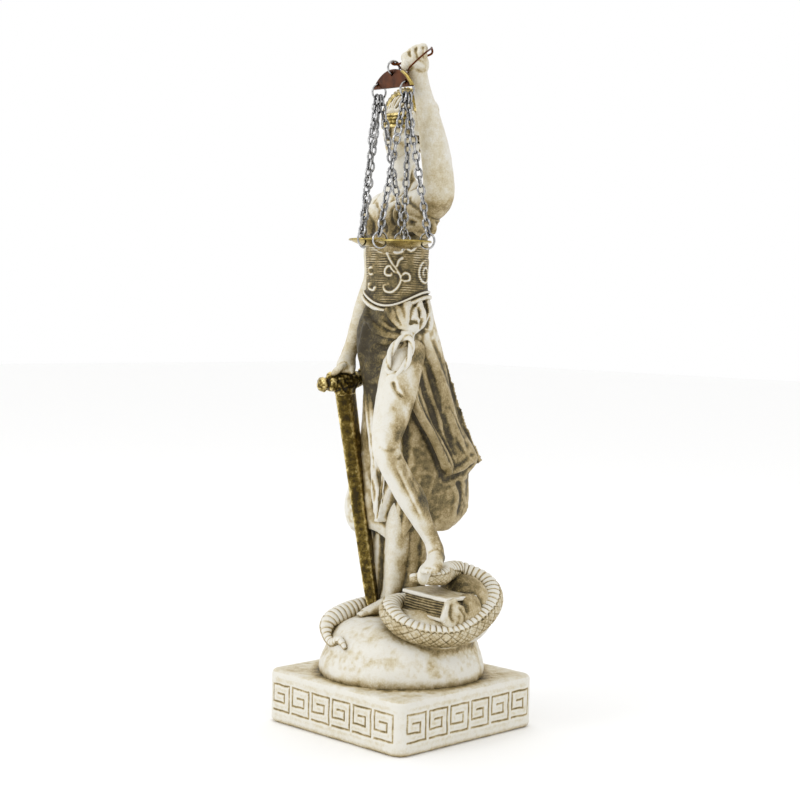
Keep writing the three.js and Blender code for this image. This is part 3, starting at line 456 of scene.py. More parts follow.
def wash_and_shade_group():
    """The antique wash with any painted shade added to it: ivory where it is rubbed off, then ochre, olive,
    and umber where it lies thick or the painted shade is deep.
    """
    tree, given, out = group(
        "wash_and_shade_look",
        [("Where", "NodeSocketVector"), ("Wash_and_shade", "NodeSocketFloat"), ("Mottle", "NodeSocketFloat")],
        [("Colour", "NodeSocketColor"), ("Roughness", "NodeSocketFloat"), ("Height", "NodeSocketFloat")])
    where = given.outputs["Where"]
    broad = math_node(tree, "SUBTRACT", noise(tree, where, 9.0), 0.5)
    patchy = math_node(tree, "SUBTRACT", noise(tree, where, 2.2, 5.0, 0.62), 0.5)
    speckle = math_node(tree, "SUBTRACT", noise(tree, where, 0.55, 4.0, 0.7), 0.5)
    mixed = math_node(tree, "MULTIPLY", broad, 0.9)
    for source, share in ((patchy, 1.3), (speckle, 0.9)):
        mixed = math_node(tree, "ADD", mixed, math_node(tree, "MULTIPLY", source, share))
    mixed = math_node(tree, "MULTIPLY", mixed, given.outputs["Mottle"])
    held = math_node(tree, "ADD", given.outputs["Wash_and_shade"], 0.16)
    mixed = math_node(tree, "MULTIPLY", mixed, held)
    dark = math_node(tree, "ADD", given.outputs["Wash_and_shade"], mixed, clamp=True)
    colour = ramp(tree, dark, WASH_AND_SHADE_STEPS)
    rough = math_node(tree, "ADD", math_node(tree, "MULTIPLY", patchy, 0.25), 0.56)
    height = math_node(tree, "ADD", math_node(tree, "MULTIPLY", speckle, 0.6), patchy)
    tree.links.new(colour, out.inputs["Colour"])
    tree.links.new(rough, out.inputs["Roughness"])
    tree.links.new(height, out.inputs["Height"])
    return tree


def blank(name):
    """A material with a plain shader, and its object coordinates in millimetres."""
    material = bpy.data.materials.new(name)
    material.use_nodes = True
    tree = material.node_tree
    tree.nodes.clear()
    shader = tree.nodes.new("ShaderNodeBsdfPrincipled")
    surface = tree.nodes.new("ShaderNodeOutputMaterial")
    tree.links.new(shader.outputs["BSDF"], surface.inputs["Surface"])
    spots = tree.nodes.new("ShaderNodeTexCoord").outputs["Object"]
    in_mm = put(tree, "ShaderNodeMapping", [("Vector", spots), ("Scale", (1 / MM, 1 / MM, 1 / MM))])
    return material, tree, shader, in_mm.outputs["Vector"]


def bump(tree, shader, height, distance, strength=1.0):
    values = [("Height", height), ("Strength", strength), ("Distance", distance * MM)]
    node = put(tree, "ShaderNodeBump", values)
    tree.links.new(node.outputs["Normal"], shader.inputs["Normal"])


def occlusion_shade(tree, reach, from_open, share):
    """Painted shade: how closely other surfaces stand within reach millimetres, as ambient occlusion, above
    what counts as open.
    """
    near = put(tree, "ShaderNodeAmbientOcclusion", [("Distance", reach * MM)], samples=6).outputs["AO"]
    return math_node(tree, "MULTIPLY", math_node(tree, "SUBTRACT", from_open, near, clamp=True), share)


wash_and_shade_look = wash_and_shade_group()


def resin(name, mottle=1.0):
    """Cast resin with its antique wash, darkened further by painted shade where other surfaces stand within
    5 millimetres.
    """
    material, tree, shader, where = blank(name)
    wash_and_shade = put(tree, "ShaderNodeAttribute", attribute_name="wash_and_shade").outputs["Fac"]
    # Painted shade: ambient occlusion within 5 mm is added to the wash, darkening creases and the places
    # between parts.
    dark = math_node(tree, "ADD", wash_and_shade, occlusion_shade(tree, 5, 0.76, 0.6), clamp=True)
    look = put(tree, "ShaderNodeGroup", node_tree=wash_and_shade_look)
    tree.links.new(where, look.inputs["Where"])
    tree.links.new(dark, look.inputs["Wash_and_shade"])
    look.inputs["Mottle"].default_value = mottle
    tree.links.new(look.outputs["Colour"], shader.inputs["Base Color"])
    tree.links.new(look.outputs["Roughness"], shader.inputs["Roughness"])
    shader.inputs["Specular IOR Level"].default_value = 0.35
    bump(tree, shader, look.outputs["Height"], 0.12, 0.6)
    return material


def gilt(name):
    """Dark antique gold: brown paint rubbed with bright gold on what stands proud."""
    material, tree, shader, where = blank(name)
    wash_and_shade = put(tree, "ShaderNodeAttribute", attribute_name="wash_and_shade").outputs["Fac"]
    patchy = noise(tree, where, 2.6, 5.0, 0.6)
    speckle = noise(tree, where, 0.4, 4.0, 0.7)
    coarse = math_node(tree, "MULTIPLY", patchy, 0.8)
    fine = math_node(tree, "MULTIPLY", speckle, 0.7)
    rubbed = math_node(tree, "SUBTRACT", math_node(tree, "ADD", coarse, fine), wash_and_shade, clamp=True)
    colour = ramp(tree, rubbed, GILT_STEPS)
    metal = ramp(tree, rubbed, [(0.1, (0.25,) * 3), (0.5, (0.9,) * 3)])
    tree.links.new(colour, shader.inputs["Base Color"])
    tree.links.new(metal, shader.inputs["Metallic"])
    shine = ramp(tree, rubbed, [(0.1, (0.5,) * 3), (0.8, (0.3,) * 3)])
    tree.links.new(shine, shader.inputs["Roughness"])
    bump(tree, shader, math_node(tree, "ADD", patchy, speckle), 0.18, 0.7)
    return material


def plate(name, base, edge, rough, size=3.0, touch_shade=0.0):
    """Plated metal with a little dulling and handling, and painted shade where pieces nearly touch."""
    material, tree, shader, where = blank(name)
    dulling_and_shade = noise(tree, where, size, 4.0, 0.6)
    # Painted shade: ambient occlusion within 1.8 mm darkens the metal where pieces nearly touch.
    dulling_and_shade = math_node(tree, "SUBTRACT", dulling_and_shade, occlusion_shade(tree, 1.8, 1.0, touch_shade), clamp=True)
    colour = ramp(tree, dulling_and_shade, [(0.0, tuple(0.2 * c for c in base)), (0.35, base), (0.75, edge)])
    tree.links.new(colour, shader.inputs["Base Color"])
    shader.inputs["Metallic"].default_value = 1.0
    rough = math_node(tree, "ADD", math_node(tree, "MULTIPLY", dulling_and_shade, 0.2), rough)
    tree.links.new(rough, shader.inputs["Roughness"])
    bump(tree, shader, noise(tree, where, 0.6), 0.03, 0.5)
    return material


cast = resin("washed_and_shaded_resin")
heavy = resin("stained_and_shaded_resin", mottle=0.8)
gold = gilt("antique_gold")
copper = plate("copper_plate", (0.07, 0.02, 0.006), (0.16, 0.048, 0.013), 0.2)
steel = plate("nickel_wire", (0.24, 0.24, 0.24), (0.8, 0.8, 0.8), 0.14, 0.9, touch_shade=1.1)
brass = plate("brass_sheet", (0.3, 0.21, 0.045), (0.62, 0.49, 0.17), 0.16)


# Plinth and mound

KEY_CORNERS = [(0, 0), (1, 0), (1, 1), (0, 1), (0, 0.32), (0.69, 0.32), (0.69, 0.66), (0.3, 0.66)]
KEY_DEPTH = 0.42
KEY_GROOVE = 0.42
UNDERSIDE_INSETS = (30, 20, 10, 5)
TOP_INSETS = (3, 4.5, 6, 8, 10, 13, 17, 22, 30)
SIDES = [(math.cos(k * math.pi / 2), math.sin(k * math.pi / 2)) for k in range(4)]


def plinth_outline(step):
    """Points round the square with its rounded corners, each with its way out."""
    straight = PLINTH_WIDTH - 2 * PLINTH_CORNER
    quarter = [(x, -PLINTH_WIDTH / 2, 0.0, -1.0) for x in np.arange(-straight / 2, straight / 2, step)]
    for a in np.linspace(0, math.pi / 2, int(PLINTH_CORNER * math.pi / 2 / step))[:-1]:
        out = (math.sin(a), -math.cos(a))
        corner = (straight / 2 + PLINTH_CORNER * out[0], -straight / 2 + PLINTH_CORNER * out[1])
        quarter.append((*corner, *out))
    quarter = np.array(quarter)
    ring = []
    for c, s in SIDES:
        turn = np.array([[c, s], [-s, c]])
        ring.append(np.hstack([quarter[:, :2] @ turn, quarter[:, 2:] @ turn]))
    return np.vstack(ring)


def plinth_shell(step):
    """Rings from the middle of the underside, round both worn edges, to the middle of the top."""
    outline = plinth_outline(step)
    edge = [(PLINTH_EDGE * (math.sin(a) - 1), PLINTH_EDGE * (1 - math.cos(a)))
            for a in np.linspace(0, math.pi / 2, 7)]
    wall = np.arange(PLINTH_EDGE, PLINTH_HEIGHT - PLINTH_EDGE, step)
    profile = [(-inset, 0.0) for inset in UNDERSIDE_INSETS] + edge + [(0.0, z) for z in wall[1:]]
    profile += [(inward, PLINTH_HEIGHT - z) for inward, z in reversed(edge)]
    profile += [(-inset, PLINTH_HEIGHT) for inset in TOP_INSETS]
    rings = []
    for inward, z in profile:
        if inward < -PLINTH_EDGE - 0.01:
            flat = outline[:, :2] * (1 + inward / (PLINTH_WIDTH / 2))
        else:
            flat = outline[:, :2] + inward * outline[:, 2:]
        rings.append(np.column_stack([flat, np.full(len(outline), z)]))
    return shell(np.array(rings))


def key_grooves(places):
    """How far the row of incised square spirals on each side sinks each corner."""
    wavy = places + 0.16 * np.stack([grain(places, 3.0, k) for k in range(3)], axis=1)
    corners = (np.array(KEY_CORNERS) - 0.5) * (KEY_WIDTH, KEY_HEIGHT)
    push = np.zeros(len(places))
    for c, s in SIDES:
        across = wavy[:, 0] * c + wavy[:, 1] * s
        on_side = wavy[:, 0] * s - wavy[:, 1] * c > PLINTH_WIDTH / 2 - 1.6
        for i in range(KEYS_PER_SIDE):
            middle = (i - (KEYS_PER_SIDE - 1) / 2) * KEY_PITCH
            near = np.flatnonzero(on_side & (abs(across - middle) < KEY_PITCH / 2 + 0.6))
            spot = np.stack([across[near] - middle, wavy[near, 2] - PLINTH_HEIGHT / 2], axis=1)
            away, _ = distance_to(spot, corners)
            push[near] = np.minimum(push[near], -KEY_DEPTH * rounded_ridge(away, KEY_GROOVE))
    return push


def plinth():
    """The square plinth with worn edges, a key pattern on each side and wash round the mound's foot."""
    thing = make("plinth", [plinth_shell(0.27)])
    face_out(thing)
    places, normals = read(thing)
    push = key_grooves(places)
    push += 0.1 * grain(places, 7.0, 5) + 0.05 * grain(places, 2.0, 6)
    push[places[:, 2] < 0.02] = 0
    write(thing, places + normals * push[:, None])
    tone(thing, stain=0.12, hollows=0.75)
    places, _ = read(thing)
    on_top = places[:, 2] > PLINTH_HEIGHT - 0.8
    around = np.hypot(places[:, 0], places[:, 1])
    near_mound = np.clip(1 - abs(around - MOUND_RADIUS) / 5.0, 0, 1)
    lumps = 0.5 + 0.5 * grain(places, 8.0, 2)
    add_wash_and_shade(thing, on_top * (0.5 * near_mound + 0.2 * lumps))
    place_casting(thing, cast)


# The mound's outline as (share of its radius, share of its height)
MOUND_PROFILE = [
    (1.0, -0.08), (1.03, 0.06), (1.02, 0.2), (0.965, 0.42), (0.88, 0.68), (0.7, 0.89), (0.46, 0.99),
    (0.2, 1.02), (0.04, 1.03),
]
NEST = (19.0, 4.0, 7.0)
# Ridges and hollows behind the book, in the photograph's pixels: height in mm, width and path
NEST_RIDGES = [
    (1.0, 2.2, [(441, 595), (447, 604), (444, 614), (441, 624)]),
    (0.9, 2.0, [(446, 604), (454, 600), (464, 596)]),
    (-1.0, 2.2, [(452, 606), (451, 616), (455, 624)]),
    (-0.9, 2.0, [(459, 601), (466, 606), (468, 614)]),
    (0.7, 2.0, [(456, 610), (461, 617), (460, 625)]),
]


def mound():
    """The lumpy mound, with the rise under the book, the heap under the foot and the nest in the coil."""
    rows = [(0, 0, rise * MOUND_HEIGHT - MOUND_HEIGHT, share * MOUND_RADIUS, share * MOUND_RADIUS)
            for share, rise in MOUND_PROFILE]
    body = trunk(rows, sides=160, step=0.8)
    ground = egg((15.6, -1.0, -2.0), (14.5, 14.5, 9.5), sides=48, rings=30)
    heap = egg((-8.0, 1.0, -5.0), (11, 10, 6.6), sides=40, rings=24)
    nest = [egg((19.0, 11.0, 3.5), (13.0, 9.0, 13.0), (-0.1, 0.25, 1), sides=44, rings=28),
            egg((28.0, 4.0, 4.5), (5.0, 6.0, 7.5), (0.1, 0.1, 1), sides=30, rings=18)]
    lumps = [egg((29.2, -5.0, 5.6), (2.4, 4.2, 5.4)), egg((29.6, 0.4, 4.6), (2.6, 4.6, 5.2)),
             egg((28.4, 5.4, 5.4), (3.2, 4.4, 4.6))]
    thing = make("mound", [body, ground, heap, *nest, *lumps])
    one_skin(thing, 0.55, soften=10)
    roughen(thing, [(0.55, 9.0, 1), (0.22, 3.6, 2), (0.06, 1.3, 3)])
    carve(thing, NEST_RIDGES)
    tone(thing, stain=0.1, hollows=0.55)
    places, _ = read(thing)
    foot = np.clip(1 - (places[:, 2] - PLINTH_HEIGHT) / (3.4 + 2.2 * grain(places, 6.0, 8)), 0, 1)
    patches = np.clip(grain(places, 6.0, 4) - 0.25, 0, 1)
    in_nest = np.clip(1.5 - np.linalg.norm(places - lift([NEST])[0], axis=1) / 12, 0, 1)
    in_nest *= np.clip((places[:, 2] - SOLES) / 4 + 0.4, 0, 1)
    add_wash_and_shade(thing, 0.24 * foot + 0.3 * patches + 0.9 * in_nest)
    place_casting(thing, cast)


# Figure

def facing(turn, direction, sharp):
    """How strongly a turn about +Z faces a direction in degrees, from 0 to 1."""
    return np.maximum(0, np.cos(turn - math.radians(direction))) ** sharp


FIST = np.array([23.6, -23.8, 198.0])


def upper_shells():
    """Chest, neck, raised arm and fist, lowered arm and hand, and the drapery over the bust."""
    chest = trunk([(-3.4, -3.6, 132, 11.8, 8.8), (-3.4, -3.4, 140, 12.8, 9.2), (-3.2, -3.2, 147, 12.8, 9.0),
                   (-2.4, -2.6, 152.0, 11.4, 7.4), (-2.2, -2.4, 155.8, 8.2, 6.0),
                   (-2.1, -2.6, 159.0, 5.2, 4.9), (-1.8, -2.9, 161, 3.4, 3.4)])
    neck = limb([(-2.2, -2.2, 154, 5.2, 5.0), (-1.9, -2.9, 160, 4.6, 4.7), (-1.2, -3.2, 166, 4.4, 4.6),
                 (-0.8, -2.6, 173, 4.8, 5.4)], across=(1, 0, 0))
    bust = [egg((-8.8, -8.2, 144.4), (6.4, 6.6, 6.4), (0.1, -1, -0.25), sides=36, rings=22),
            egg((2.8, -7.8, 145.2), (6.8, 6.8, 6.4), (0.1, -1, -0.25), sides=36, rings=22)]
    front = egg((-3.0, -6.0, 145.0), (10.0, 6.4, 8.0), sides=36, rings=22)
    arm = limb([(2, -2.6, 147.5, 6.4, 6), (11, -4, 150, 7.0, 6.6), (20, -9, 151, 6.2, 6.4),
                (26.0, -13.2, 153.4, 5.7, 5.5), (27.9, -15.6, 160, 5.3, 5.2), (27.8, -17.4, 168, 5.0, 4.8),
                (26.9, -19.6, 178, 4.0, 3.7), (25.6, -21.8, 187, 3.1, 2.8), (24.6, -23.2, 193, 3.3, 2.9),
                (24.2, -23.8, 197, 3.8, 3.4)], across=(0.7, 0.7, 0.1))
    lowered = limb([(-10, -2, 151, 4.6, 5.4), (-14.8, -1, 146, 5.2, 5.7), (-18.4, 0.6, 134, 4.9, 5.0),
                    (-18.5, 0.4, 124, 4.4, 4.5), (-20.2, -2.6, 113, 4.3, 4.4), (-22.0, -6.4, 101, 3.0, 3.2),
                    (-22.8, -8.4, 95.5, 2.6, 3.0), (-22.6, -9.8, 91, 3.2, 4.0),
                    (-22.2, -10.6, 88, 2.8, 3.2)])
    grip = [egg((-22.6 + 1.0 * k, -12.2 - 2.1 * k, 90.4 - abs(k) * 0.4), (1.35, 1.35, 3.4),
                (-0.75, -0.35, -0.75))
            for k in (-1.2, -0.2, 0.8, 1.8)]
    thumb = egg((-20.0, -9.6, 90.2), (1.4, 1.4, 3.2), (0.6, -0.5, -0.5))
    sleeve = limb([(-11, -2, 153.0, 3.4, 4.2), (-13.6, -1.6, 149.8, 5.2, 5.8),
                   (-16.2, -0.4, 144.6, 5.9, 6.4), (-17.2, 0, 140.4, 5.8, 6.2),
                   (-17.5, 0.2, 138.6, 4.8, 5.0)], sides=48,
                  relief=lambda turn, share: 1 + 0.05 * np.sin(9 * turn) * share)
    puff = limb([(3, -6, 150.0, 4.2, 5.0), (9.6, -7.5, 146.8, 5.6, 5.6), (14.6, -9, 144.2, 5.8, 5.6),
                 (15.4, -8.4, 141.4, 4.6, 4.2), (14.6, -7, 140, 2.8, 2.8)], across=(0, 0.5, 0.9), sides=48,
                relief=lambda turn, share: 1 + 0.07 * np.sin(8 * turn + 2 * share))
    return [chest, neck, *bust, front, arm, *fist(FIST), lowered, *grip, thumb, sleeve, puff]


def fist(centre):
    """A closed hand round the wire: palm, four curled fingers and the thumb across them."""
    palm = egg(centre + (0.6, 0.6, -1.4), (4.0, 4.2, 4.6), (-0.3, -0.3, 1))
    knuckles = np.array([-0.66, -0.66, -0.1])
    shells = [palm]
    for i in range(4):
        base = centre + knuckles * (i - 1.4) * 2.15 + np.array([1.0, -1.0, 3.2 - 0.3 * i * i])
        shells.append(egg(base, (1.6, 1.6, 2.6), (0.7, -0.7, 0.35)))
        shells.append(egg(base + (1.1, -1.1, -2.6), (1.5, 1.5, 2.5), (0.1, -0.1, 1)))
    shells.append(egg(centre + (2.6, -1.6, -2.2), (1.4, 1.4, 3.4), (-0.7, -0.5, 0.5)))
    return shells


# Folds of the bust's drapery, the shoulder and the sleeves, and the gaps between the fingers, in the
# photograph's pixels: height in mm, width and path
UPPER_FOLDS = [
    (1.3, 2.8, [(402, 204), (396, 213), (398, 222), (407, 228), (421, 227)]),
    (-1.0, 2.4, [(405, 208), (402, 215), (406, 221), (415, 223)]),
    (0.9, 2.4, [(415, 180), (409, 192), (400, 204)]),
    (-1.0, 2.4, [(414, 168), (412, 182), (404, 197), (396, 206)]),
    (0.8, 2.2, [(390, 200), (388, 212), (391, 226), (390, 236)]),
    (-0.9, 2.2, [(385, 202), (383, 214), (386, 230)]),
    (0.6, 2.2, [(372, 204), (378, 216), (378, 232)]),
    (-0.6, 2.2, [(366, 210), (372, 222), (373, 236)]),
    (0.6, 2.2, [(432, 218), (440, 222), (436, 230), (432, 238)]),
    (-0.6, 2.0, [(426, 220), (432, 226), (428, 236)]),
    (-0.5, 1.6, [(410, 44), (409, 52), (411, 58)]),
    (-0.5, 1.6, [(417, 43), (416, 52), (418, 59)]),
    (-0.5, 1.6, [(424, 45), (423, 53), (424, 60)]),
]


def upper_figure():
    """The figure above the waist without its head and bodice, with more wash on cloth than on skin and
    painted shade on surfaces that face down.
    """
    thing = make("upper_figure", upper_shells())
    one_skin(thing, 0.42, soften=5)
    roughen(thing, [(0.08, 2.5, 3)])
    carve(thing, UPPER_FOLDS)
    tone(thing, stain=0.07, hollows=0.8)
    places, normals = read(thing)
    height = places[:, 2] - SOLES
    cloth = np.clip((150 - height) / 6, 0, 1) * (np.abs(places[:, 0] + 3) < 14) * (height > 130)
    sleeves = np.clip((153 - height) / 4, 0, 1) * (height > 136) * (places[:, 0] > 6)
    patches = 0.5 + 0.5 * grain(places, 5.0, 7)
    # Painted shade: surfaces facing downward get extra darkening, mottled by the patches.
    underside = np.clip(0.2 - normals[:, 2], 0, 1)
    raised = np.clip((height - 152) / 6, 0, 1) * (places[:, 0] > 18) * (0.02 + 0.1 * patches)
    lowered = np.clip((140 - height) / 30, 0, 1) * (places[:, 0] < -14) * (0.1 + 0.09 * patches)
    add_wash_and_shade(thing, 0.42 * cloth + 0.26 * sleeves + 0.3 * patches * underside + raised + lowered)
    place_casting(thing, cast)


def head():
    """A calm, plain face under a blindfold, with waved hair drawn back to a knot."""
    cranium = egg((-0.6, -1.9, 182.0), (7.6, 9.0, 8.6), sides=40, rings=24)
    face = egg((-0.8, -5.4, 176.2), (6.0, 6.6, 8.8), (0, 0.1, 1), sides=36, rings=22)
    jaw = egg((-0.8, -7.4, 171.4), (4.3, 4.4, 4.4), sides=30, rings=18)
    chin = egg((-0.8, -10.4, 168.9), (1.9, 1.6, 1.5))
    nose = limb([(-0.8, -11.2, 180.5, 0.7, 0.8), (-0.8, -12.2, 177.4, 0.85, 0.9),
                 (-0.8, -13.2, 174.8, 1.25, 1.1), (-0.8, -12.0, 173.9, 1.0, 0.6)], sides=16, step=0.4)
    cheeks = [egg((-0.8 + s * 3.0, -8.0, 174.8), (2.6, 2.2, 3.4), (0, 0.2, 1)) for s in (-1, 1)]
    lips = [egg((-0.8, -11.7, 172.25), (2.0, 0.8, 0.5), sides=16),
            egg((-0.8, -11.5, 171.3), (1.6, 0.8, 0.55), sides=16)]
    cap = egg((-0.6, 0.6, 182.6), (8.6, 9.4, 8.9), (0, 0.25, 1), sides=44, rings=28)
    temples = [egg((-0.6 + s * 6.6, -3.6, 180.0), (2.2, 5.0, 5.2), (0, 0.3, 1)) for s in (-1, 1)]
    nape = egg((-0.7, 5.4, 174.6), (5.4, 4.0, 5.0), (0, -0.2, 1))
    knot = egg((-0.6, 8.6, 180.4), (4.2, 3.8, 4.0))
    thing = make("head", [cranium, face, jaw, chin, nose, *cheeks, *lips, cap, *temples, nape, knot])
    one_skin(thing, 0.34, soften=4)
    places, normals = read(thing)
    height = places[:, 2] - SOLES
    front = places[:, 1] + 3.4 + np.maximum(0.55 * (height - 182), 5.0 * (height - 183))
    on_hair = np.clip((front + 1.5) / 1.5, 0, 1) * np.clip((height - 168) / 3, 0, 1)
    round_head = np.arctan2(height - 179, abs(places[:, 0] + 0.6))
    waves = np.sin(26 * round_head + 0.35 * places[:, 1] + 1.6 * grain(places, 4.0, 3))
    locks = np.sin(9 * round_head + 0.5 * np.sin(0.7 * places[:, 1]))
    push = on_hair * (0.34 * waves + 0.42 * locks + 0.4 * grain(places, 2.6, 9))
    write(thing, places + normals * push[:, None])
    tone(thing, stain=0.3, hollows=1.1)
    place_casting(thing, cast)


def blindfold():
    """The gilt band over the eyes, folded lengthwise, knotted behind with two short tails."""
    turn = np.linspace(0, TURN, 120, endpoint=False)
    centre = lift([(-0.6, -2.6, 180.2)])[0]
    ring = centre + np.stack([8.1 * np.cos(turn), 9.6 * np.sin(turn), 0.35 * np.sin(turn)], axis=1)
    outward = np.stack([np.cos(turn), np.sin(turn), 0 * turn], axis=1)
    bands = []
    for k in (-1.6, -0.5, 0.6, 1.6):
        fold = ring + (0, 0, 1.15 * k) - 0.12 * abs(k) * outward
        bands.append(hoop(fold, outward, 0.75, 0.85, 16))
    knot = egg((-0.6, 8.6, 179.8), (2.2, 1.6, 1.9))
    tails = [limb([(-0.6, 8.6, 179, 1.2, 0.6), (-0.6 + 2.6 * s, 10.2, 175, 1.5, 0.6),
                   (-0.6 + 4.0 * s, 9.6, 170, 1.3, 0.5)], sides=16) for s in (-1, 1)]
    thing = make("blindfold", [*bands, knot, *tails])
    one_skin(thing, 0.24, soften=3)
    roughen(thing, [(0.07, 0.9, 4)])
    tone(thing, stain=0.22)
    place_casting(thing, gold)


def diadem():
    """The gilt arch over the crown, from ear to ear, with a beaded edge."""
    rows = []
    for a in np.linspace(-0.02, math.pi + 0.02, 60):
        rise = math.sin(a)
        rows.append((-0.5 + 8.3 * math.cos(a), -5.8 + 1.6 * rise, 183.0 + 7.8 * rise, 1.2,
                     2.2 + 1.2 * rise))
    shells = [limb(rows, across=(0, -0.35, 0.93), sides=20, step=0.5)]
    for a in np.linspace(0.15, math.pi - 0.15, 17):
        rise = math.sin(a)
        bead = (-0.5 + 9.2 * math.cos(a), -5.8 + 1.4 * rise, 183.2 + 8.8 * rise)
        shells.append(egg(bead, (0.62, 0.62, 0.62), sides=10, rings=8))
    thing = make("diadem", shells)
    one_skin(thing, 0.24, soften=2)
    tone(thing, stain=0.18)
    place_casting(thing, gold)


# The bodice's scrolls as they lie in the photograph, in its pixels: stems, spirals and small curls
SCROLLS = [
    [(385, 248), (391, 261), (398, 271), (401, 279), (398, 287),
     (392, 292), (386, 291), (384, 286), (388, 284)],
    [(397, 268), (399, 261), (404, 257)],
    [(399, 274), (394, 271), (390, 266), (386, 269), (386, 274), (391, 275), (392, 271)],
    [(401, 277), (405, 273), (409, 275), (409, 280), (404, 281), (403, 278)],
    [(390, 247), (396, 253), (402, 252), (405, 247)],
    [(406, 248), (411, 251), (415, 248), (413, 245), (410, 246)],
    [(373, 266), (370, 269), (371, 274), (374, 273)],
    [(370, 281), (370, 288), (374, 290), (376, 285)],
]
SCROLL_HEIGHT = 0.62
SCROLL_WIDTH = 1.7
BODICE_DIP = 5.2
BODICE_POINT = 290
HATCH_PITCH = 0.85
HATCH_DEPTH = 0.11


def bodice_dip(turn):
    """How far the bodice dips towards the front."""
    return -BODICE_DIP * facing(turn, BODICE_POINT, 2.4)


def bodice_shells():
    """The bodice's wall and the double rolled rim at its lower edge."""
    wall = trunk([(-3.4, -3.6, 137.6, 12.2, 9.2), (-3.4, -3.6, 134, 13.0, 9.9),
                  (-3.4, -3.6, 127, 12.5, 9.5), (-3.4, -3.4, 121, 12.7, 9.6),
                  (-3.4, -3.4, 116.4, 13.0, 9.9), (-3.4, -3.4, 115.4, 12.0, 9.2)],
                 sides=96, step=0.6, dip=bodice_dip)
    turn = np.linspace(0, TURN, 180, endpoint=False)
    outward = np.stack([np.cos(turn), np.sin(turn), 0 * turn], axis=1)
    rims = []
    for height, thick, reach in ((118.9, 0.5, 13.3), (117.0, 0.85, 13.5)):
        middle = lift([(-3.4, -3.4, height)])[0]
        ring = np.stack([reach * np.cos(turn), (reach - 3.1) * np.sin(turn), bodice_dip(turn)], axis=1)
        rims.append(hoop(middle + ring, outward, thick, thick, 12))
    return [wall, *rims]


def back_scrolls():
    """Two pairs of scrolls on the bodice's back, drawn on the figure itself."""
    strokes = []
    for way, start in ((1, 100), (-1, 80)):
        for lower in (0, 1):
            stem = []
            for share in np.linspace(0, 1, 24):
                swing = 1.5 * TURN * share
                radius = 4.6 * (1 - 0.85 * share)
                a = math.radians(start + way * (18 + 50 * lower)) + way * radius * math.sin(swing) / 12
                height = 127.5 - 2 * lower + radius * math.cos(swing)
                stem.append((-3.4 + 12.7 * math.cos(a), -3.6 + 9.7 * math.sin(a), height))
            strokes.append((0.6, 0.55, stem))
    return strokes


def bodice():
    """The stiff bodice, its ground hatched where no scroll runs, with raised scrolls round it."""
    thing = make("bodice", bodice_shells())
    one_skin(thing, 0.24, soften=3)
    places, normals = read(thing)
    height = places[:, 2] - SOLES
    turn = np.arctan2(places[:, 1] + 3.4, places[:, 0] + 3.4)
    ripple = np.sin(height * TURN / HATCH_PITCH + 2.5 * grain(places, 5.0, 1))
    hatch = ripple * np.clip(grain(places, 2.4, 2) + 0.45, 0, 1)
    on_wall = np.clip(height - 119.6 - bodice_dip(turn), 0, 1)
    flat = photo(places)
    clear = np.ones(len(places))
    for path in SCROLLS:
        away, _ = distance_to(flat, path)
        clear = np.minimum(clear, 1 - rounded_ridge(away, 2.6))
    write(thing, places + normals * (HATCH_DEPTH * hatch * on_wall * clear)[:, None])
    carve(thing, [(SCROLL_HEIGHT, SCROLL_WIDTH, path) for path in SCROLLS], rounded_ridge)
    carve(thing, back_scrolls(), rounded_ridge, seen=False)
    tone(thing, stain=0.68, hollows=0.9, crests=1.3)
    place_casting(thing, heavy)


# The skirt at each level: how far it reaches from the body's axis, every 30 degrees from the figure's left
# through its back
SKIRT = [
    (119, (11.0, 9.0, 7.2, 6.4, 7.2, 9.6, 11.4, 12.4, 12.0, 11.6, 12.0, 11.6)),
    (110, (12.4, 11.4, 10.6, 10.2, 11.0, 13.0, 14.4, 14.2, 13.6, 13.0, 12.8, 12.4)),
    (99, (13.4, 14.2, 14.2, 13.6, 14.6, 16.0, 16.8, 15.0, 13.6, 12.6, 11.4, 12.2)),
    (86, (13.0, 16.6, 18.0, 17.8, 18.0, 18.4, 17.6, 14.4, 11.6, 10.2, 8.4, 10.0)),
    (72, (11.4, 17.0, 22.6, 21.6, 21.2, 21.4, 19.2, 13.4, 9.8, 7.2, 6.2, 7.6)),
    (58, (10.0, 16.2, 30.4, 26.8, 24.8, 24.8, 21.6, 12.8, 7.8, 5.6, 5.2, 6.6)),
    (50, (9.6, 14.6, 26.4, 27.8, 26.2, 26.4, 24.4, 11.8, 6.6, 5.0, 5.0, 6.4)),
    (40, (8.4, 12.4, 25.6, 29.0, 27.2, 28.0, 28.0, 10.8, 4.6, 4.4, 4.6, 6.0)),
    (33, (7.4, 10.6, 23.6, 28.4, 26.6, 27.6, 27.6, 9.0, 3.6, 3.8, 4.2, 5.4)),
    (29, (6.6, 9.0, 20.0, 25.6, 24.4, 25.4, 24.8, 7.2, 3.0, 3.4, 3.8, 5.0)),
]


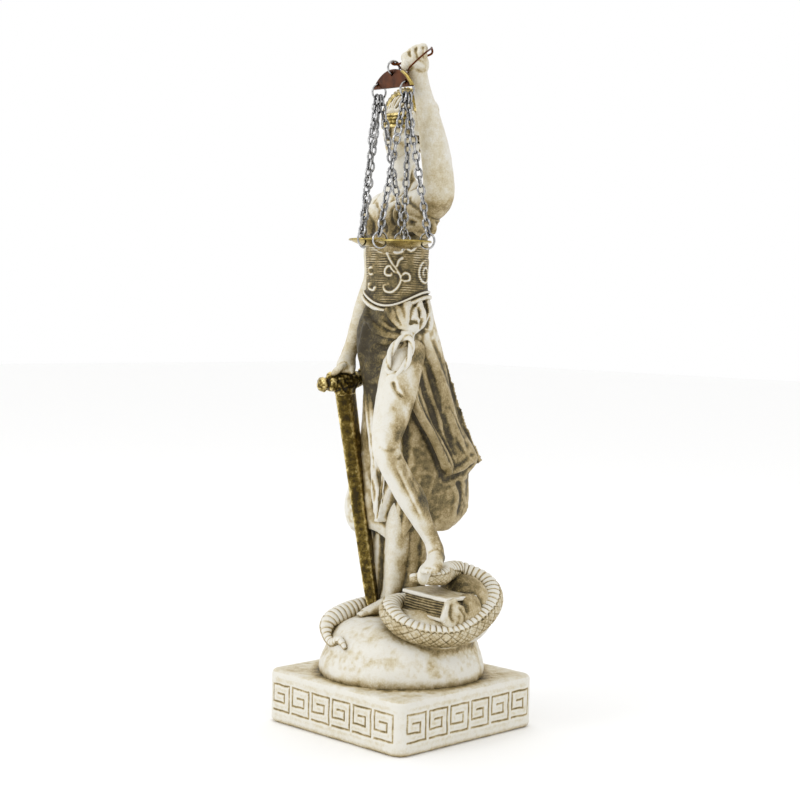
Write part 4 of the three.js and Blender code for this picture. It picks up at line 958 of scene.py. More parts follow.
def skirt_shell():
    """The skirt as one gathered body, with long folds that spread and deepen towards its hem."""
    sides = 300
    levels = spline([(height, *reach) for height, reach in SKIRT], 110)
    share = np.arange(sides) / sides * 12
    low = share.astype(int)
    plain = between(*(levels[:, 1 + (low + k) % 12] for k in (-1, 0, 1, 2)), (share - low)[None])
    turn = np.linspace(0, TURN, sides, endpoint=False)[None]
    drop = np.clip((119 - levels[:, :1]) / 88, 0, 1)
    warped = turn + 0.10 * np.sin(3 * turn + 2.0 * drop) + 0.05 * np.sin(7 * turn - 3 * drop)
    pinch = 1 - 2 * np.abs(np.sin(4.5 * warped + 1.3 * drop)) ** 0.8
    small = np.sin(13 * warped + 4.0 * drop)
    behind = 0.16 + 0.84 * facing(turn, 125, 0.8)
    folds = (2.1 * drop**0.8 * pinch + 0.3 * drop * small) * behind
    x = -3 + (plain + folds) * np.cos(turn)
    y = (plain + folds) * np.sin(turn)
    z = levels[:, :1] + drop**6 * (1.8 * np.sin(6 * warped) + 4.0 * facing(turn, 35, 1.5))
    return shell(lift(np.stack([x, y, z], axis=-1)))


def cape_shell():
    """The front of the cape: from the split's rolled hem to the corner that blows out behind."""
    rows = [(106, 9.6, -9.2, 6.0, 7.0), (104, 10.0, -9.6, 6.4, 9.0), (97, 10.6, -11.0, 7.0, 11.6),
            (90, 11.0, -11.6, 7.6, 14.6), (76, 12.6, -7.6, 8.4, 20.4), (64, 14.0, 0.4, 9.4, 26.6),
            (57, 13.8, 5.2, 10.2, 30.4), (54.5, 12.6, 7.6, 9.0, 28.0), (53, 10.6, 9.6, 8.0, 24.0)]
    levels = spline(rows, 90)
    share = np.linspace(0, 1, 90)[None]
    drop = np.clip((106 - levels[:, :1]) / 52, 0, 1)
    hem, corner = levels[:, None, 1:3], levels[:, None, 3:5]
    flat = hem + (corner - hem) * share[..., None]
    out = unit(np.stack([(corner - hem)[..., 1], -(corner - hem)[..., 0]], axis=-1))
    roll = 1.1 * np.exp(-((share - 0.03) / 0.05) ** 2)
    fold = 1.7 * np.sin(share * TURN * 1.9 + 0.6) + 0.2 * np.sin(share * TURN * 5.1 + 1.0 + drop)
    fold = fold * (0.25 + 0.75 * drop)
    outer = flat + out * (roll + fold + 0.6 * np.sin(math.pi * share))[..., None]
    thick = (1.6 + 4.5 * np.sin(math.pi * share) * (1 - 0.4 * drop))[..., None]
    inner = (flat - out * thick)[:, ::-1]
    ring = np.concatenate([outer, inner[:, 3:-3]], axis=1)
    height = np.broadcast_to(levels[:, :1], ring.shape[:2])
    return shell(lift(np.dstack([ring, height])))


def curtain():
    """The cloth behind the legs, falling in long pleats to the mound."""
    def pleated(turn, share):
        return 1 + 0.03 * np.sin(9 * turn + 0.8 * share)

    return trunk([(-6, 5.6, 40, 11.0, 7.4), (-5.6, 5.6, 28, 10.4, 6.8), (-5.4, 5.4, 14, 9.8, 6.4),
                  (-5.6, 4.8, 2, 10.6, 7.0), (-5.8, 4.6, -3, 11.4, 7.6)], sides=200, shape=pleated)


def sword_pleat():
    """The outermost pleat of that cloth, close behind the sword."""
    def ribbed(turn, share):
        return 1 + 0.07 * np.sin(6 * turn + share)

    return limb([(-9.4, 1.2, 50, 3.4, 3.4), (-12.2, 1.6, 36, 4.0, 3.8), (-14.6, 1.8, 20, 4.2, 3.6),
                 (-15.2, 1.6, 6, 4.0, 3.6), (-15.0, 1.6, -2, 4.4, 4.2)], sides=40, relief=ribbed)


def front_fall():
    """The cloth that hangs between the legs and ends in a point beside the standing shin."""
    rows = [(92, 4, -12, -13, -9.5, 8), (80, 3.4, -10.6, -13, -8.8, 8), (70, 3, -9.0, -12.4, -8.0, 8),
            (58, 2.6, -6.4, -10.6, -7.4, 8), (46, 0.0, -4.9, -9.2, -7.9, 7),
            (38, -3.4, -5.2, -8.0, -7.3, 5.4), (34.5, -5.2, -5.6, -7.4, -7.0, 3.4)]
    levels = spline(rows, 80)
    share = np.linspace(0, 1, 50)[None]
    left, right = levels[:, None, 1:3], levels[:, None, 3:5]
    flat = right + (left - right) * share[..., None]
    wave = 1.0 * np.sin(share * TURN * 1.8 + 0.4) + 0.35 * np.sin(share * TURN * 5.0)
    front = flat - np.array([0, 1.0]) * (wave + 1.4 * np.sin(math.pi * share))[..., None]
    back = (flat + np.array([0, 1.0]) * levels[:, None, 5:6])[:, ::-1]
    ring = np.concatenate([front, back[:, 2:-2]], axis=1)
    height = np.broadcast_to(levels[:, :1], ring.shape[:2])
    return shell(lift(np.dstack([ring, height])))


def hip_folds():
    """The cloth ballooned over the hips and its folds, drawn in to the gather at the left thigh."""
    gather = (10.4, -10.0, 104.6)
    belly = trunk([(-3.0, -3.6, 113, 11.8, 10.0), (-3.4, -5.0, 108.5, 13.0, 11.2),
                   (-4.0, -5.0, 102, 13.8, 11.8), (-4.8, -4.2, 95, 13.0, 11.0),
                   (-5.6, -3.0, 87, 11.4, 10.0), (-6.0, -2.0, 80, 9.6, 8.0)], sides=96)
    under_fan = egg((6.6, -5.6, 110.0), (6.4, 5.4, 6.4), (0.2, 0, 1), sides=36, rings=22)
    runs = [
        [(-13.6, -7.0, 114.6, 1.0), (-8.0, -13.2, 110.4, 1.9), (0.0, -15.6, 106.4, 2.6),
         (6.0, -14.0, 105.0, 2.0), (*gather, 1.2)],
        [(-15.8, -5.8, 109, 1.0), (-10.6, -13.0, 103.8, 1.6), (-2.0, -15.2, 100.4, 1.7),
         (6.0, -13.2, 102.4, 1.3), (*gather, 1.0)],
        [(-16.4, -5.4, 102, 1.0), (-11.6, -11.6, 96.2, 1.5), (-3.0, -13.6, 94.0, 1.5),
         (4.4, -12.6, 98.6, 1.2), (*gather, 1.0)],
        [(-16.0, -4.4, 94, 1.0), (-12.0, -9.8, 88.8, 1.5), (-5.0, -11.8, 86.4, 1.7),
         (2.4, -12.4, 91.0, 1.4), (9.4, -11.0, 101.6, 1.0)],
    ]
    fan = [
        [(-1.4, -11.4, 112.0, 2.0), (2.8, -13.4, 109.4, 2.8), (7.6, -13.0, 106.6, 2.2), (*gather, 1.3)],
        [(2.2, -9.6, 113.4, 2.0), (6.4, -11.8, 110.2, 3.1), (9.4, -12.0, 107.2, 2.2), (*gather, 1.3)],
        [(5.6, -7.4, 114.6, 2.0), (9.2, -9.6, 111.2, 2.6), (11.0, -10.4, 107.6, 1.8), (*gather, 1.2)],
        [(8.8, -4.2, 115.4, 1.4), (11.6, -6.4, 111.4, 1.6), (12.2, -8.2, 107.6, 1.3),
         (11.4, -9.0, 105.0, 1.1)],
        [(10.4, -1.0, 116.0, 0.9), (12.4, -3.0, 111.6, 1.1), (12.6, -6.0, 107.4, 1.1),
         (11.4, -9.0, 104.6, 1.1)],
    ]
    return [belly, under_fan, *(limb(run, across=(0, 0, 1), sides=24, step=0.8) for run in runs + fan)]


def loop_and_knot():
    """The twisted loop of cloth that hangs from the gather, and the knot under it."""
    knot = np.array([9.6, -16.8, 88.6])
    top = np.array([9.8, -11.0, 103.6])
    middle = (knot + top) / 2 + (0.7, -0.9, 0)
    along = unit(knot - top)
    across = unit(np.array([0.72, 0.62, 0.1]))
    turn = np.linspace(0, TURN, 90, endpoint=False)[:, None]
    ring = middle + 7.2 * np.cos(turn) * along + 3.7 * np.sin(turn) * across
    outward = ring - middle
    square = unit(np.cross(along, across))
    strands = []
    for phase in (0, math.pi):
        wind = 3 * turn + phase
        strand = ring + 0.62 * (np.cos(wind) * unit(outward) + np.sin(wind) * square)
        strands.append(hoop(lift(strand), outward, 0.86, 0.86, 10))
    bits = [egg(knot, (2.5, 2.5, 2.2)), egg(top, (2.3, 2.3, 2.2))]
    for way in ((-1, -0.2, -0.5), (1, 0.6, -0.4), (-0.6, 0.2, 0.5), (0.5, 0.6, 0.7)):
        bits.append(egg(knot + 2.6 * unit(np.array(way)), (0.9, 0.9, 2.6), way))
    thing = make("loop_and_knot", strands + bits)
    one_skin(thing, 0.3, soften=2)
    roughen(thing, [(0.08, 1.2, 5)])
    tone(thing, stain=0.2, hollows=1.1)
    place_casting(thing, heavy)


# Folds over the dress, in the photograph's pixels: height in mm, width and path
DRESS_FOLDS = [
    (-0.9, 3.0, [(420, 345), (432, 380), (445, 425), (452, 452)]),
    (-0.8, 2.6, [(412, 350), (420, 385), (432, 412), (446, 440)]),
    (0.9, 3.4, [(426, 338), (438, 370), (450, 402), (462, 440)]),
    (0.9, 3.2, [(405, 384), (418, 412), (430, 432), (440, 455), (446, 474)]),
    (-0.8, 2.4, [(413, 384), (425, 410), (437, 430), (446, 452), (453, 468)]),
    (0.5, 2.6, [(446, 475), (454, 471), (463, 468), (471, 462), (478, 455)]),
    (-0.8, 2.4, [(446, 480), (456, 476), (466, 472), (476, 462)]),
    (-1.0, 2.4, [(381, 306), (386, 318), (396, 329), (407, 334)]),
    (-0.45, 1.5, [(394, 306), (397, 318), (403, 328)]),
    (-1.0, 2.2, [(415, 300), (412, 312), (411, 326)]),
    (-1.1, 2.2, [(420, 308), (422, 320), (421, 332)]),
    (0.9, 2.4, [(367, 306), (366, 316), (374, 328), (388, 336), (404, 336)]),
    (-0.9, 2.2, [(372, 316), (380, 326), (394, 333), (404, 334)]),
    (-0.8, 2.2, [(368, 334), (378, 346), (392, 348), (404, 340)]),
    (-0.7, 2.2, [(364, 352), (374, 364), (386, 364), (394, 352)]),
    (0.6, 2.0, [(370, 326), (380, 338), (396, 342), (408, 337)]),
    (0.6, 2.0, [(366, 343), (376, 355), (390, 356), (398, 346)]),
    (-0.9, 2.4, [(415, 300), (419, 312), (417, 322)]),
    (-0.9, 2.2, [(424, 302), (428, 316), (426, 330)]),
    (-1.2, 2.0, [(413, 321), (416, 322), (418, 324)]),
    (0.7, 2.0, [(352, 380), (362, 340), (367, 312)]),
    (-0.7, 2.4, [(357, 380), (366, 352), (370, 330)]),
    (0.6, 2.2, [(372, 470), (378, 490), (377, 512)]),
    (-0.7, 2.4, [(382, 462), (386, 482), (380, 506)]),
    (-0.8, 2.6, [(456, 478), (462, 496), (458, 518)]),
    (0.6, 2.6, [(468, 478), (471, 496), (467, 514)]),
]


def dress():
    """The skirt, cape, hip folds and the cloth behind and between the legs, as one gathered cloth."""
    thing = make("dress", [skirt_shell(), cape_shell(), curtain(), sword_pleat(), front_fall(),
                           *hip_folds()])
    one_skin(thing, 0.56, soften=3)
    roughen(thing, [(0.16, 4.0, 1), (0.05, 1.4, 2)])
    carve(thing, DRESS_FOLDS)
    tone(thing, stain=0.3, hollows=0.7, crests=1.0)
    places, _ = read(thing)
    height = places[:, 2] - SOLES
    turn = np.arctan2(places[:, 1], places[:, 0] + 3)
    hips = np.clip((height - 70) / 22, 0, 1) * np.clip((119 - height) / 3, 0, 1)
    beside_gather = np.clip(1.15 - np.maximum(0, places[:, 0] - 4) / 8, 0, 1)
    dark_hips = 1.15 * hips * facing(turn, 236, 0.8) * beside_gather
    cape = 0.42 * np.clip(facing(turn, 20, 0.7), 0, 1) * np.clip((104 - height) / 14, 0, 1)
    inner = 0.05 * np.clip((46 - height) / 8, 0, 1) * (np.hypot(places[:, 0] + 6, places[:, 1] - 4) < 14)
    add_wash_and_shade(thing, dark_hips + cape + inner + 0.07 * grain(places, 7.0, 6))
    place_casting(thing, heavy)


# Each toe from the great one on: its place across the foot, its reach along it and its half thickness
TOES = [(2.5, 0.98, 1.15), (0.95, 1.02, 0.85), (-0.4, 0.99, 0.8), (-1.65, 0.94, 0.75), (-2.75, 0.88, 0.7)]


def foot_shells(heel, toes, inner):
    """A bare foot from heel to toes; inner is the side of the great toe, 1 or -1 across the foot."""
    heel, toes = np.array(heel, float), np.array(toes, float)
    along = unit(toes - heel)
    side = unit(np.cross(along, UP))
    length = np.linalg.norm(toes - heel)

    def at(share, up, across=0.0):
        return heel + along * share * length + np.array([0, 0, up]) + side * across

    rows = [(*at(-0.1, 0.6), 1.4, 1.4), (*at(0.05, 1.2), 2.6, 2.7), (*at(0.3, 1.9), 2.7, 3.4),
            (*at(0.55, 1.2), 3.2, 2.5), (*at(0.78, 0.5), 3.6, 1.7), (*at(0.9, 0.2), 3.3, 1.2)]
    shells = [limb(rows, across=side, sides=30)]
    for i, (across, reach, thick) in enumerate(TOES):
        tip = at(reach - 0.06, 0.2 - 0.06 * i, inner * across)
        shells.append(egg(tip, (thick, thick * 0.9, 2.2), along + (0, 0, -0.12), 14, 10))
    return shells


# The knee's creases, the shin's edge and the thigh's dimple, in the photograph's pixels
LEG_LINES = [
    (-0.25, 3.2, [(376, 444), (384, 450), (394, 450), (402, 444)]),
    (-0.3, 2.6, [(405, 444), (402, 454), (397, 462)]),
    (0.4, 2.4, [(398, 462), (412, 492), (426, 520)]),
    (-0.5, 2.2, [(393, 380), (396, 390), (404, 398)]),
]


def legs():
    """The bent left leg, bare from the hip, and the straight right leg, with their feet."""
    thigh = limb([(4, -5, 99, 7.4, 7.0), (7.8, -12.4, 86, 7.3, 7.1), (10.4, -18.2, 75, 6.5, 6.4),
                  (12.6, -22.6, 67, 5.3, 5.1), (13.8, -23.0, 61.6, 4.7, 4.8), (15.2, -19.6, 55, 4.5, 4.9),
                  (16.8, -14.8, 46.6, 4.3, 4.8), (18.4, -9.8, 38, 3.4, 3.8), (19.8, -5.2, 29.5, 2.6, 3.0),
                  (20.4, -3.8, 24, 2.8, 3.4)], sides=44)
    knee = egg((13.0, -25.2, 64.6), (3.1, 2.6, 3.4), (0.1, 0.3, 1))
    calf = egg((17.4, -11.6, 46.0), (3.2, 3.4, 8.4), (0.14, 0.5, -1))
    straight = limb([(-4.0, 0.4, 56, 4.8, 5.0), (-3.4, 0.4, 44, 4.7, 5.0), (-3.0, 0.4, 36, 5.0, 5.3),
                     (-3.0, 0.0, 24, 4.7, 5.0), (-3.7, -0.4, 12, 3.7, 4.1),
                     (-4.5, 0.0, 3, 3.1, 3.7)], sides=40)
    kneecap = egg((12.2, -26.2, 66.4), (2.0, 1.6, 2.4), (0.1, 0.3, 1))
    instep = limb([(18.6, -8.6, 36, 1.4, 1.6), (20.2, -5.2, 28.5, 2.8, 3.3), (21.4, -5.6, 25.2, 3.0, 3.2),
                   (25.2, -9.8, 22.8, 2.8, 2.2)], sides=30)
    ankle = egg((-7.2, -0.2, 3.8), (1.2, 1.3, 1.5))
    other = egg((22.4, -3.6, 26.0), (1.1, 1.2, 1.4))
    raised = foot_shells((19.2, -1.6, 23.0), (29.0, -16.0, 21.6), 1)
    standing = foot_shells((-4.2, 2.6, 1.4), (-11.4, -11, 0.4), -1)
    shells = [thigh, knee, kneecap, calf, instep, straight, ankle, other, *raised, *standing]
    thing = make("bare_legs", shells)
    one_skin(thing, 0.38, soften=7)
    roughen(thing, [(0.08, 2.5, 1)])
    carve(thing, LEG_LINES)
    tone(thing, stain=0.06, hollows=0.9)
    places, normals = read(thing)
    # Darker mottled wash on the side of the leg turned away from the key lamp: partly the wash's own
    # mottling, partly painted shade.
    outer = np.clip(normals[:, 0] * 0.75 + normals[:, 1] * 0.5, 0, 1)
    patches = 0.5 + 0.5 * grain(places, 4.5, 7)
    low = np.clip((56 - (places[:, 2] - SOLES)) / 20, 0, 1) * (places[:, 0] < 6)
    add_wash_and_shade(thing, 1.1 * outer * patches + 0.06 * low)
    place_casting(thing, cast)


# Snake, book and sword

BELLY_REACH = 1.2
PLATE_PITCH = 2.1
SCALE_PITCH = 1.9
PLATE_DEPTH = 0.62
SCALE_DEPTH = 0.42
BELLY_GROOVE = 0.4
SNAKE_ROUTE = [
    (18.6, -15.2, 18.0), (21.6, -9.6, 18.0), (21.4, -2.2, 17.6), (15.6, 6.0, 17.4), (14.4, 14.8, 16.6),
    (22.2, 19.8, 13.0), (29.0, 16.8, 8.0), (31.6, 8.0, 2.4), (30.6, -3.0, -1.8), (25.6, -12.0, -1.8),
    (17.6, -17.2, 0.8), (8.4, -14.8, 4.6), (4.2, -7.0, 5.6), (3.8, 2.0, 4.6), (-2.0, 8.6, 3.0),
    (-11.6, 7.6, 1.8),
]
TAIL_ROUTE = [
    (-11.6, 7.6, 1.8), (-16.4, 1.6, 1.4), (-18.6, -7.0, 0.2), (-19.0, -15.6, -1.8), (-18.2, -20.4, -4.0),
    (-15.4, -23.2, -7.0), (-11.0, -24.6, -8.6), (-5.4, -26.2, -6.6), (-0.8, -27.8, -8.6),
]
TAIL_TAPER = [1.1, 1.15, 1.2, 1.2, 0.95, 0.55, 0.5, 0.46, 0.22]


def scaly_tube(route, widths, inward, sides=72, step=0.34):
    """A snake's body along a route and where its belly is: it has plates there, and scales elsewhere."""
    path = even(np.hstack([lift(route), np.array(widths, float)[:, None]]), step)
    centres, half = path[:, :3], path[:, 3]
    along = unit(np.gradient(centres, axis=0))
    belly = inward(centres)
    belly = unit(belly - (belly * along).sum(axis=1, keepdims=True) * along)
    side = np.cross(along, belly)
    gone = np.concatenate([[0], np.cumsum(np.linalg.norm(np.diff(centres, axis=0), axis=1))])[:, None]
    turn = np.linspace(-math.pi, math.pi, sides, endpoint=False)[None]
    on_belly = np.clip((BELLY_REACH - np.abs(turn)) / 0.12, 0, 1)
    edge = np.exp(-((np.abs(turn) - BELLY_REACH - 0.06) / 0.09) ** 2)
    plates = np.abs(np.sin(math.pi * gone / PLATE_PITCH)) ** 0.6
    around = turn * 4.0
    seams = (np.abs(np.sin(math.pi * (gone + way * around) / SCALE_PITCH)) for way in (1, -1))
    scales = np.clip(np.minimum(*seams) * 2.2, 0, 1)
    relief = on_belly * PLATE_DEPTH * (plates - 1) + (1 - on_belly) * SCALE_DEPTH * (scales - 1)
    size = (half / half.max())[:, None]
    reach = half[:, None] + size * (relief - BELLY_GROOVE * edge)
    way = np.cos(turn)[..., None] * belly[:, None] + np.sin(turn)[..., None] * side[:, None]
    rings = centres[:, None] + reach[..., None] * way
    return shell(rings), np.append(np.broadcast_to(on_belly, reach.shape).ravel(), [0, 0])


def snake():
    """The snake: its head under the raised foot, its body round the book, its tail curled on the mound."""
    hub = lift([(17.0, 0.5, 6.0)])[0]

    def up_and_in(centres):
        toward = hub - centres
        toward[:, 2] = 0
        return unit(toward) * 0.5 + UP + 0.3 * unit(eye - centres)

    full = SNAKE_THICKNESS / 2
    widths = [1.4, 2.6, 3.2, 3.7] + [full] * (len(SNAKE_ROUTE) - 4)
    body, body_belly = scaly_tube(SNAKE_ROUTE, widths, up_and_in)
    tail_widths = np.array(TAIL_TAPER) * TAIL_THICKNESS / 2
    tail, tail_belly = scaly_tube(TAIL_ROUTE, tail_widths, lambda centres: unit(eye - centres) + UP * 0.4)
    head_shape = egg((21.2, -10.2, 19.4), (4.0, 2.2, 6.4), (0.42, -0.86, -0.03), 30, 20)
    thing = make("snake", [body, tail, head_shape])
    on_belly = np.concatenate([body_belly, tail_belly, np.ones(len(head_shape[0]))])
    face_out(thing)
    tone(thing, stain=0.1, hollows=1.1)
    places, normals = read(thing)
    # Painted shade: darker on the coil's inner side, turned towards the book, and on surfaces that face
    # down.
    inner = np.clip(((hub - places) * normals).sum(axis=1) / 16 - 0.35, 0, 1) * (places[:, 0] > 5)
    under = np.clip(-normals[:, 2] - 0.1, 0, 1) * 0.3
    add_wash_and_shade(thing, 0.5 * inner + under + 0.2 * (1 - on_belly))
    place_casting(thing, cast)


BOOK = (21.0, 17.0, 8.6)
BOOK_COVER = 1.3
BOOK_LIP = 1.6
BOOK_LEAN = (-2, 3, 3)
BOOK_PLACE = (19.2, -1.0, 7.4)


def book():
    """The closed book: two covers and a block of pages with ragged lines, all worn and wavy."""
    length, width, thick = BOOK
    lie = np.radians(BOOK_LEAN)
    cx, sx, cy, sy, cz, sz = (f(a) for a in lie for f in (math.cos, math.sin))
    about_x = np.array([[1, 0, 0], [0, cx, -sx], [0, sx, cx]])
    about_y = np.array([[cy, 0, sy], [0, 1, 0], [-sy, 0, cy]])
    about_z = np.array([[cz, -sz, 0], [sz, cz, 0], [0, 0, 1]])
    turn = about_z @ about_y @ about_x
    bpy.ops.object.select_all(action="DESELECT")
    pages = (length - BOOK_LIP, width - BOOK_LIP, thick - 1.2)
    cover_size = (length, width, BOOK_COVER)
    top = thick / 2 - BOOK_COVER / 2
    boards = []
    for size, level in ((pages, 0), (cover_size, top), (cover_size, -top)):
        bpy.ops.mesh.primitive_cube_add(size=1)
        board = bpy.context.object
        board.scale = size
        board.location = (0, 0, level)
        bpy.ops.object.transform_apply(location=True, rotation=False, scale=True)
        boards.append(board)
    bpy.ops.object.select_all(action="DESELECT")
    for board in boards:
        board.select_set(True)
    bpy.context.view_layer.objects.active = boards[0]
    bpy.ops.object.join()
    thing = bpy.context.object
    thing.name = thing.data.name = "book"
    one_skin(thing, 0.26, soften=4)
    places, normals = read(thing)
    inside = (np.abs(places[:, 2]) < thick / 2 - 1.1) & (np.abs(normals[:, 2]) < 0.5)
    inside &= places[:, 0] < length / 2 - BOOK_LIP
    line = np.sin(places[:, 2] * TURN / 0.95 + 1.2 * grain(places, 4.0, 2) + 2.0 * grain(places, 9.0, 3))
    push = np.where(inside, 0.3 * line - 0.1, 0) + 0.12 * grain(places, 2.2, 1)
    write(thing, (places + normals * push[:, None]) @ turn.T + lift([BOOK_PLACE])[0])
    tone(thing, stain=0.22, hollows=1.0)
    add_wash_and_shade(thing, np.where(inside, 0.38, 0))
    place_casting(thing, heavy)


BLADE_EDGE = 1.2
SWORD_TIP = np.array([-12.2, -3.0, 0.6])
GUARD = np.array([-22.6, -10.8, 85.4])
BLADE_HALF = 1.9
BLADE_WIDTHS = [(0.0, 2.6), (0.05, 6.0), (0.3, 7.4), (0.7, 8.6), (1.0, 9.6)]
GUARD_REACH = 11.5
# The guard from end to end: share of its reach and half thickness, with a ball at each end
GUARD_PROFILE = [
    (-1.0, 0.9), (-0.93, 2.4), (-0.85, 2.9), (-0.77, 2.4), (-0.7, 1.9), (-0.6, 2.9), (-0.3, 3.3),
    (0.0, 3.5), (0.3, 3.3), (0.6, 2.9), (0.7, 1.9), (0.77, 2.4), (0.85, 2.9), (0.93, 2.4), (1.0, 0.9),
]
sword_up = unit(GUARD - SWORD_TIP)
sword_flat = np.array([0.12, 1.0, 0])


def blade():
    """The ridged blade, from its point on the mound up to the guard."""
    def ridged(turn, share):
        across, through = np.abs(np.cos(turn)), np.abs(np.sin(turn))
        return (across**BLADE_EDGE + through**BLADE_EDGE) ** (-1 / BLADE_EDGE)

    rows = [(*(SWORD_TIP + (GUARD - SWORD_TIP) * share), width / 2, BLADE_HALF)
            for share, width in BLADE_WIDTHS]
    thing = make("blade", [limb(rows, across=sword_flat, sides=64, step=0.5, relief=ridged)])
    face_out(thing)
    roughen(thing, [(0.06, 1.1, 1), (0.05, 3.0, 2)])
    tone(thing, stain=0.3)
    place_casting(thing, gold)


def sword_guard():
    """The guard with its balled ends and crumpled ornament, and the collar under it."""
    reach = unit(sword_flat - (sword_flat @ sword_up) * sword_up)
    rows = [(*(GUARD + reach * GUARD_REACH * share), thick, thick) for share, thick in GUARD_PROFILE]
    shells = [limb(rows, across=sword_up, sides=36, step=0.4)]
    for i in range(7):
        way = (-1) ** i
        at = GUARD + reach * (-7.2 + 2.4 * i) + sword_up * 0.9
        shells.append(egg(at + (0, 0, 0.4 * way), (1.3, 1.3, 3.1), sword_up + reach * 0.5 * way, 14, 10))
    collar = [(*(GUARD - sword_up * 5.2), 4.0, 1.9), (*(GUARD - sword_up * 3.4), 4.6, 2.6),
              (*(GUARD - sword_up * 1.6), 4.2, 2.8)]
    shells.append(limb(collar, across=sword_flat, sides=30, step=0.4))
    thing = make("sword_guard", shells)
    one_skin(thing, 0.3, soften=2)
    places, normals = read(thing)
    near_guard = np.clip(((places - lift([GUARD])[0]) @ sword_up + 6) / 3, 0, 1)
    crumple = 0.32 * grain(places, 1.5, 2) + 0.2 * grain(places, 0.8, 3)
    write(thing, places + normals * (0.07 * grain(places, 1.0, 1) + near_guard * crumple)[:, None])
    tone(thing, stain=0.3, hollows=0.9)
    place_casting(thing, gold)


# Hanging scales

RING_SIZE = 6.0
RING_WIRE = 0.7
TOP_RING_SIZE = 5.2
CHAIN_PITCH = 2.95
CHAIN_WIRE = 0.8
CHAIN_WIDTH = 3.0
LINK_LAP = 0.72
LINK_SEAT = 0.2
CHAIN_SPREAD = math.radians(24)
BEAM_SPAN = 26.0
BEAM_RISE = 6.4
BEAM_THICKNESS = 1.2
BEAM_HOLE = 1.9
BEAM_HOLE_INSET = 1.6
PAN_DIAMETER = 18.4
PAN_DEPTH = 2.4
PAN_WALL = 0.8
PAN_DROP = 51.2
PAN_RING_RISE = 0.3
PAN_LIP = 0.42
TOP_RING_ASIDE = 0.5
TOP_RING_FORWARD = 0.7
TOP_RING_LIFT = 1.2
WIRE_LEFT_REACH = 6.6
WIRE_RIGHT_REACH = 5.8
WIRE_HALF = 0.38
STRAND_HALF = 0.32
BEAM_SHEEN_SIZE = (0.45, 0.8)

fist_way = unit(np.array([-0.66, -0.66, -0.30]))
beam_way = unit(np.array([0.97, -0.24, -0.05]))
ring_half = RING_SIZE / 2 - RING_WIRE / 2
top_half = TOP_RING_SIZE / 2 - RING_WIRE / 2
fist_centre = lift([FIST])[0]
wire_left = fist_centre + fist_way * WIRE_LEFT_REACH
wire_right = fist_centre - fist_way * WIRE_RIGHT_REACH
top_ring_centre = wire_left + (-TOP_RING_ASIDE, -TOP_RING_FORWARD, -top_half + TOP_RING_LIFT)
beam_top = top_ring_centre + (0, 0, -top_half + 0.1)
beam_out = unit(np.cross(beam_way, UP))
beam_up = unit(np.cross(beam_out, beam_way))
beam_tip = BEAM_SPAN / 2 - BEAM_HOLE_INSET - BEAM_HOLE / 2 - 1


def hardware(name, shells, material, node):
    thing = make(name, shells)
    face_out(thing)
    place(thing, node, material)


def wire_ring(node, centre, half, axis):
    """A ring of round wire about an axis, half across from its middle to the middle of its wire."""
    side = unit(np.cross(axis, UP))
    turn = np.linspace(0, TURN, 40, endpoint=False)[:, None]
    ring = centre + half * (np.cos(turn) * side + np.sin(turn) * np.cross(axis, side))
    band = hoop(ring, ring - centre, RING_WIRE / 2, RING_WIRE / 2, 12)
    hardware(f"{node}_round", [band], steel, node)


def link(centre, along, across, half_length, half_width):
    """One oval link of round wire."""
    turn = np.linspace(0, TURN, 20, endpoint=False)[:, None]
    ring = centre + half_length * np.cos(turn) * along + half_width * np.sin(turn) * across
    return hoop(ring, ring - centre, CHAIN_WIRE / 2, CHAIN_WIRE / 2, 7)


def chain(name, start, end, across_top, across_bottom, seed):
    """A cable chain from one ring to the other, each link turned a quarter from the last."""
    length = np.linalg.norm(end - start)
    links = max(2, round(length / CHAIN_PITCH))
    along = (end - start) / length
    half_length = (length / links + LINK_LAP) / 2 - 0.02
    half_width = (CHAIN_WIDTH - CHAIN_WIRE) / 2
    first = unit(np.array([1.0, 0, 0]) - along[0] * along)
    second = np.cross(along, first)

    def roll_of(across):
        return math.atan2(across @ second, across @ first)

    start_roll = roll_of(across_top)
    astray = roll_of(across_bottom) - start_roll - links * math.pi / 2
    twist = astray - math.pi * round(astray / math.pi)
    chance = np.random.default_rng(seed)
    shells = []
    for i in range(links + 1):
        loose = 0 if i in (0, links) else chance.normal(0, 0.3)
        roll = start_roll + i * math.pi / 2 + twist * i / links + loose
        across = math.cos(roll) * first + math.sin(roll) * second
        at = start + (end - start) * i / links
        shells.append(link(at, along, across, half_length, half_width))
    hardware(name, shells, steel, name)


pan_half = PAN_DIAMETER / 2
pan_bow = (pan_half**2 + PAN_DEPTH**2) / (2 * PAN_DEPTH)


def pan(name, centre):
    """A shallow bowl of thin sheet with a rolled rim."""
    sweep = math.asin(pan_half / pan_bow)
    profile = []
    for a in np.linspace(0.02, sweep, 14):
        profile.append((pan_bow * math.sin(a), pan_bow - pan_bow * math.cos(a) - PAN_DEPTH))
    for a in np.linspace(-0.6, math.pi + 0.5, 8):
        profile.append((pan_half - 0.1 + PAN_LIP * math.cos(a), PAN_LIP * math.sin(a) + 0.05))
    inner = pan_bow - PAN_WALL * 0.6
    for a in np.linspace(sweep * 0.96, 0.02, 14):
        profile.append((inner * math.sin(a), pan_bow - inner * math.cos(a) - PAN_DEPTH))
    turn = np.linspace(0, TURN, 64, endpoint=False)[None]
    out, height = np.array(profile).T[:, :, None]
    rings = np.stack([out * np.cos(turn), out * np.sin(turn), height + 0 * turn], axis=-1)
    hardware(name, [shell(rings + centre)], brass, name)


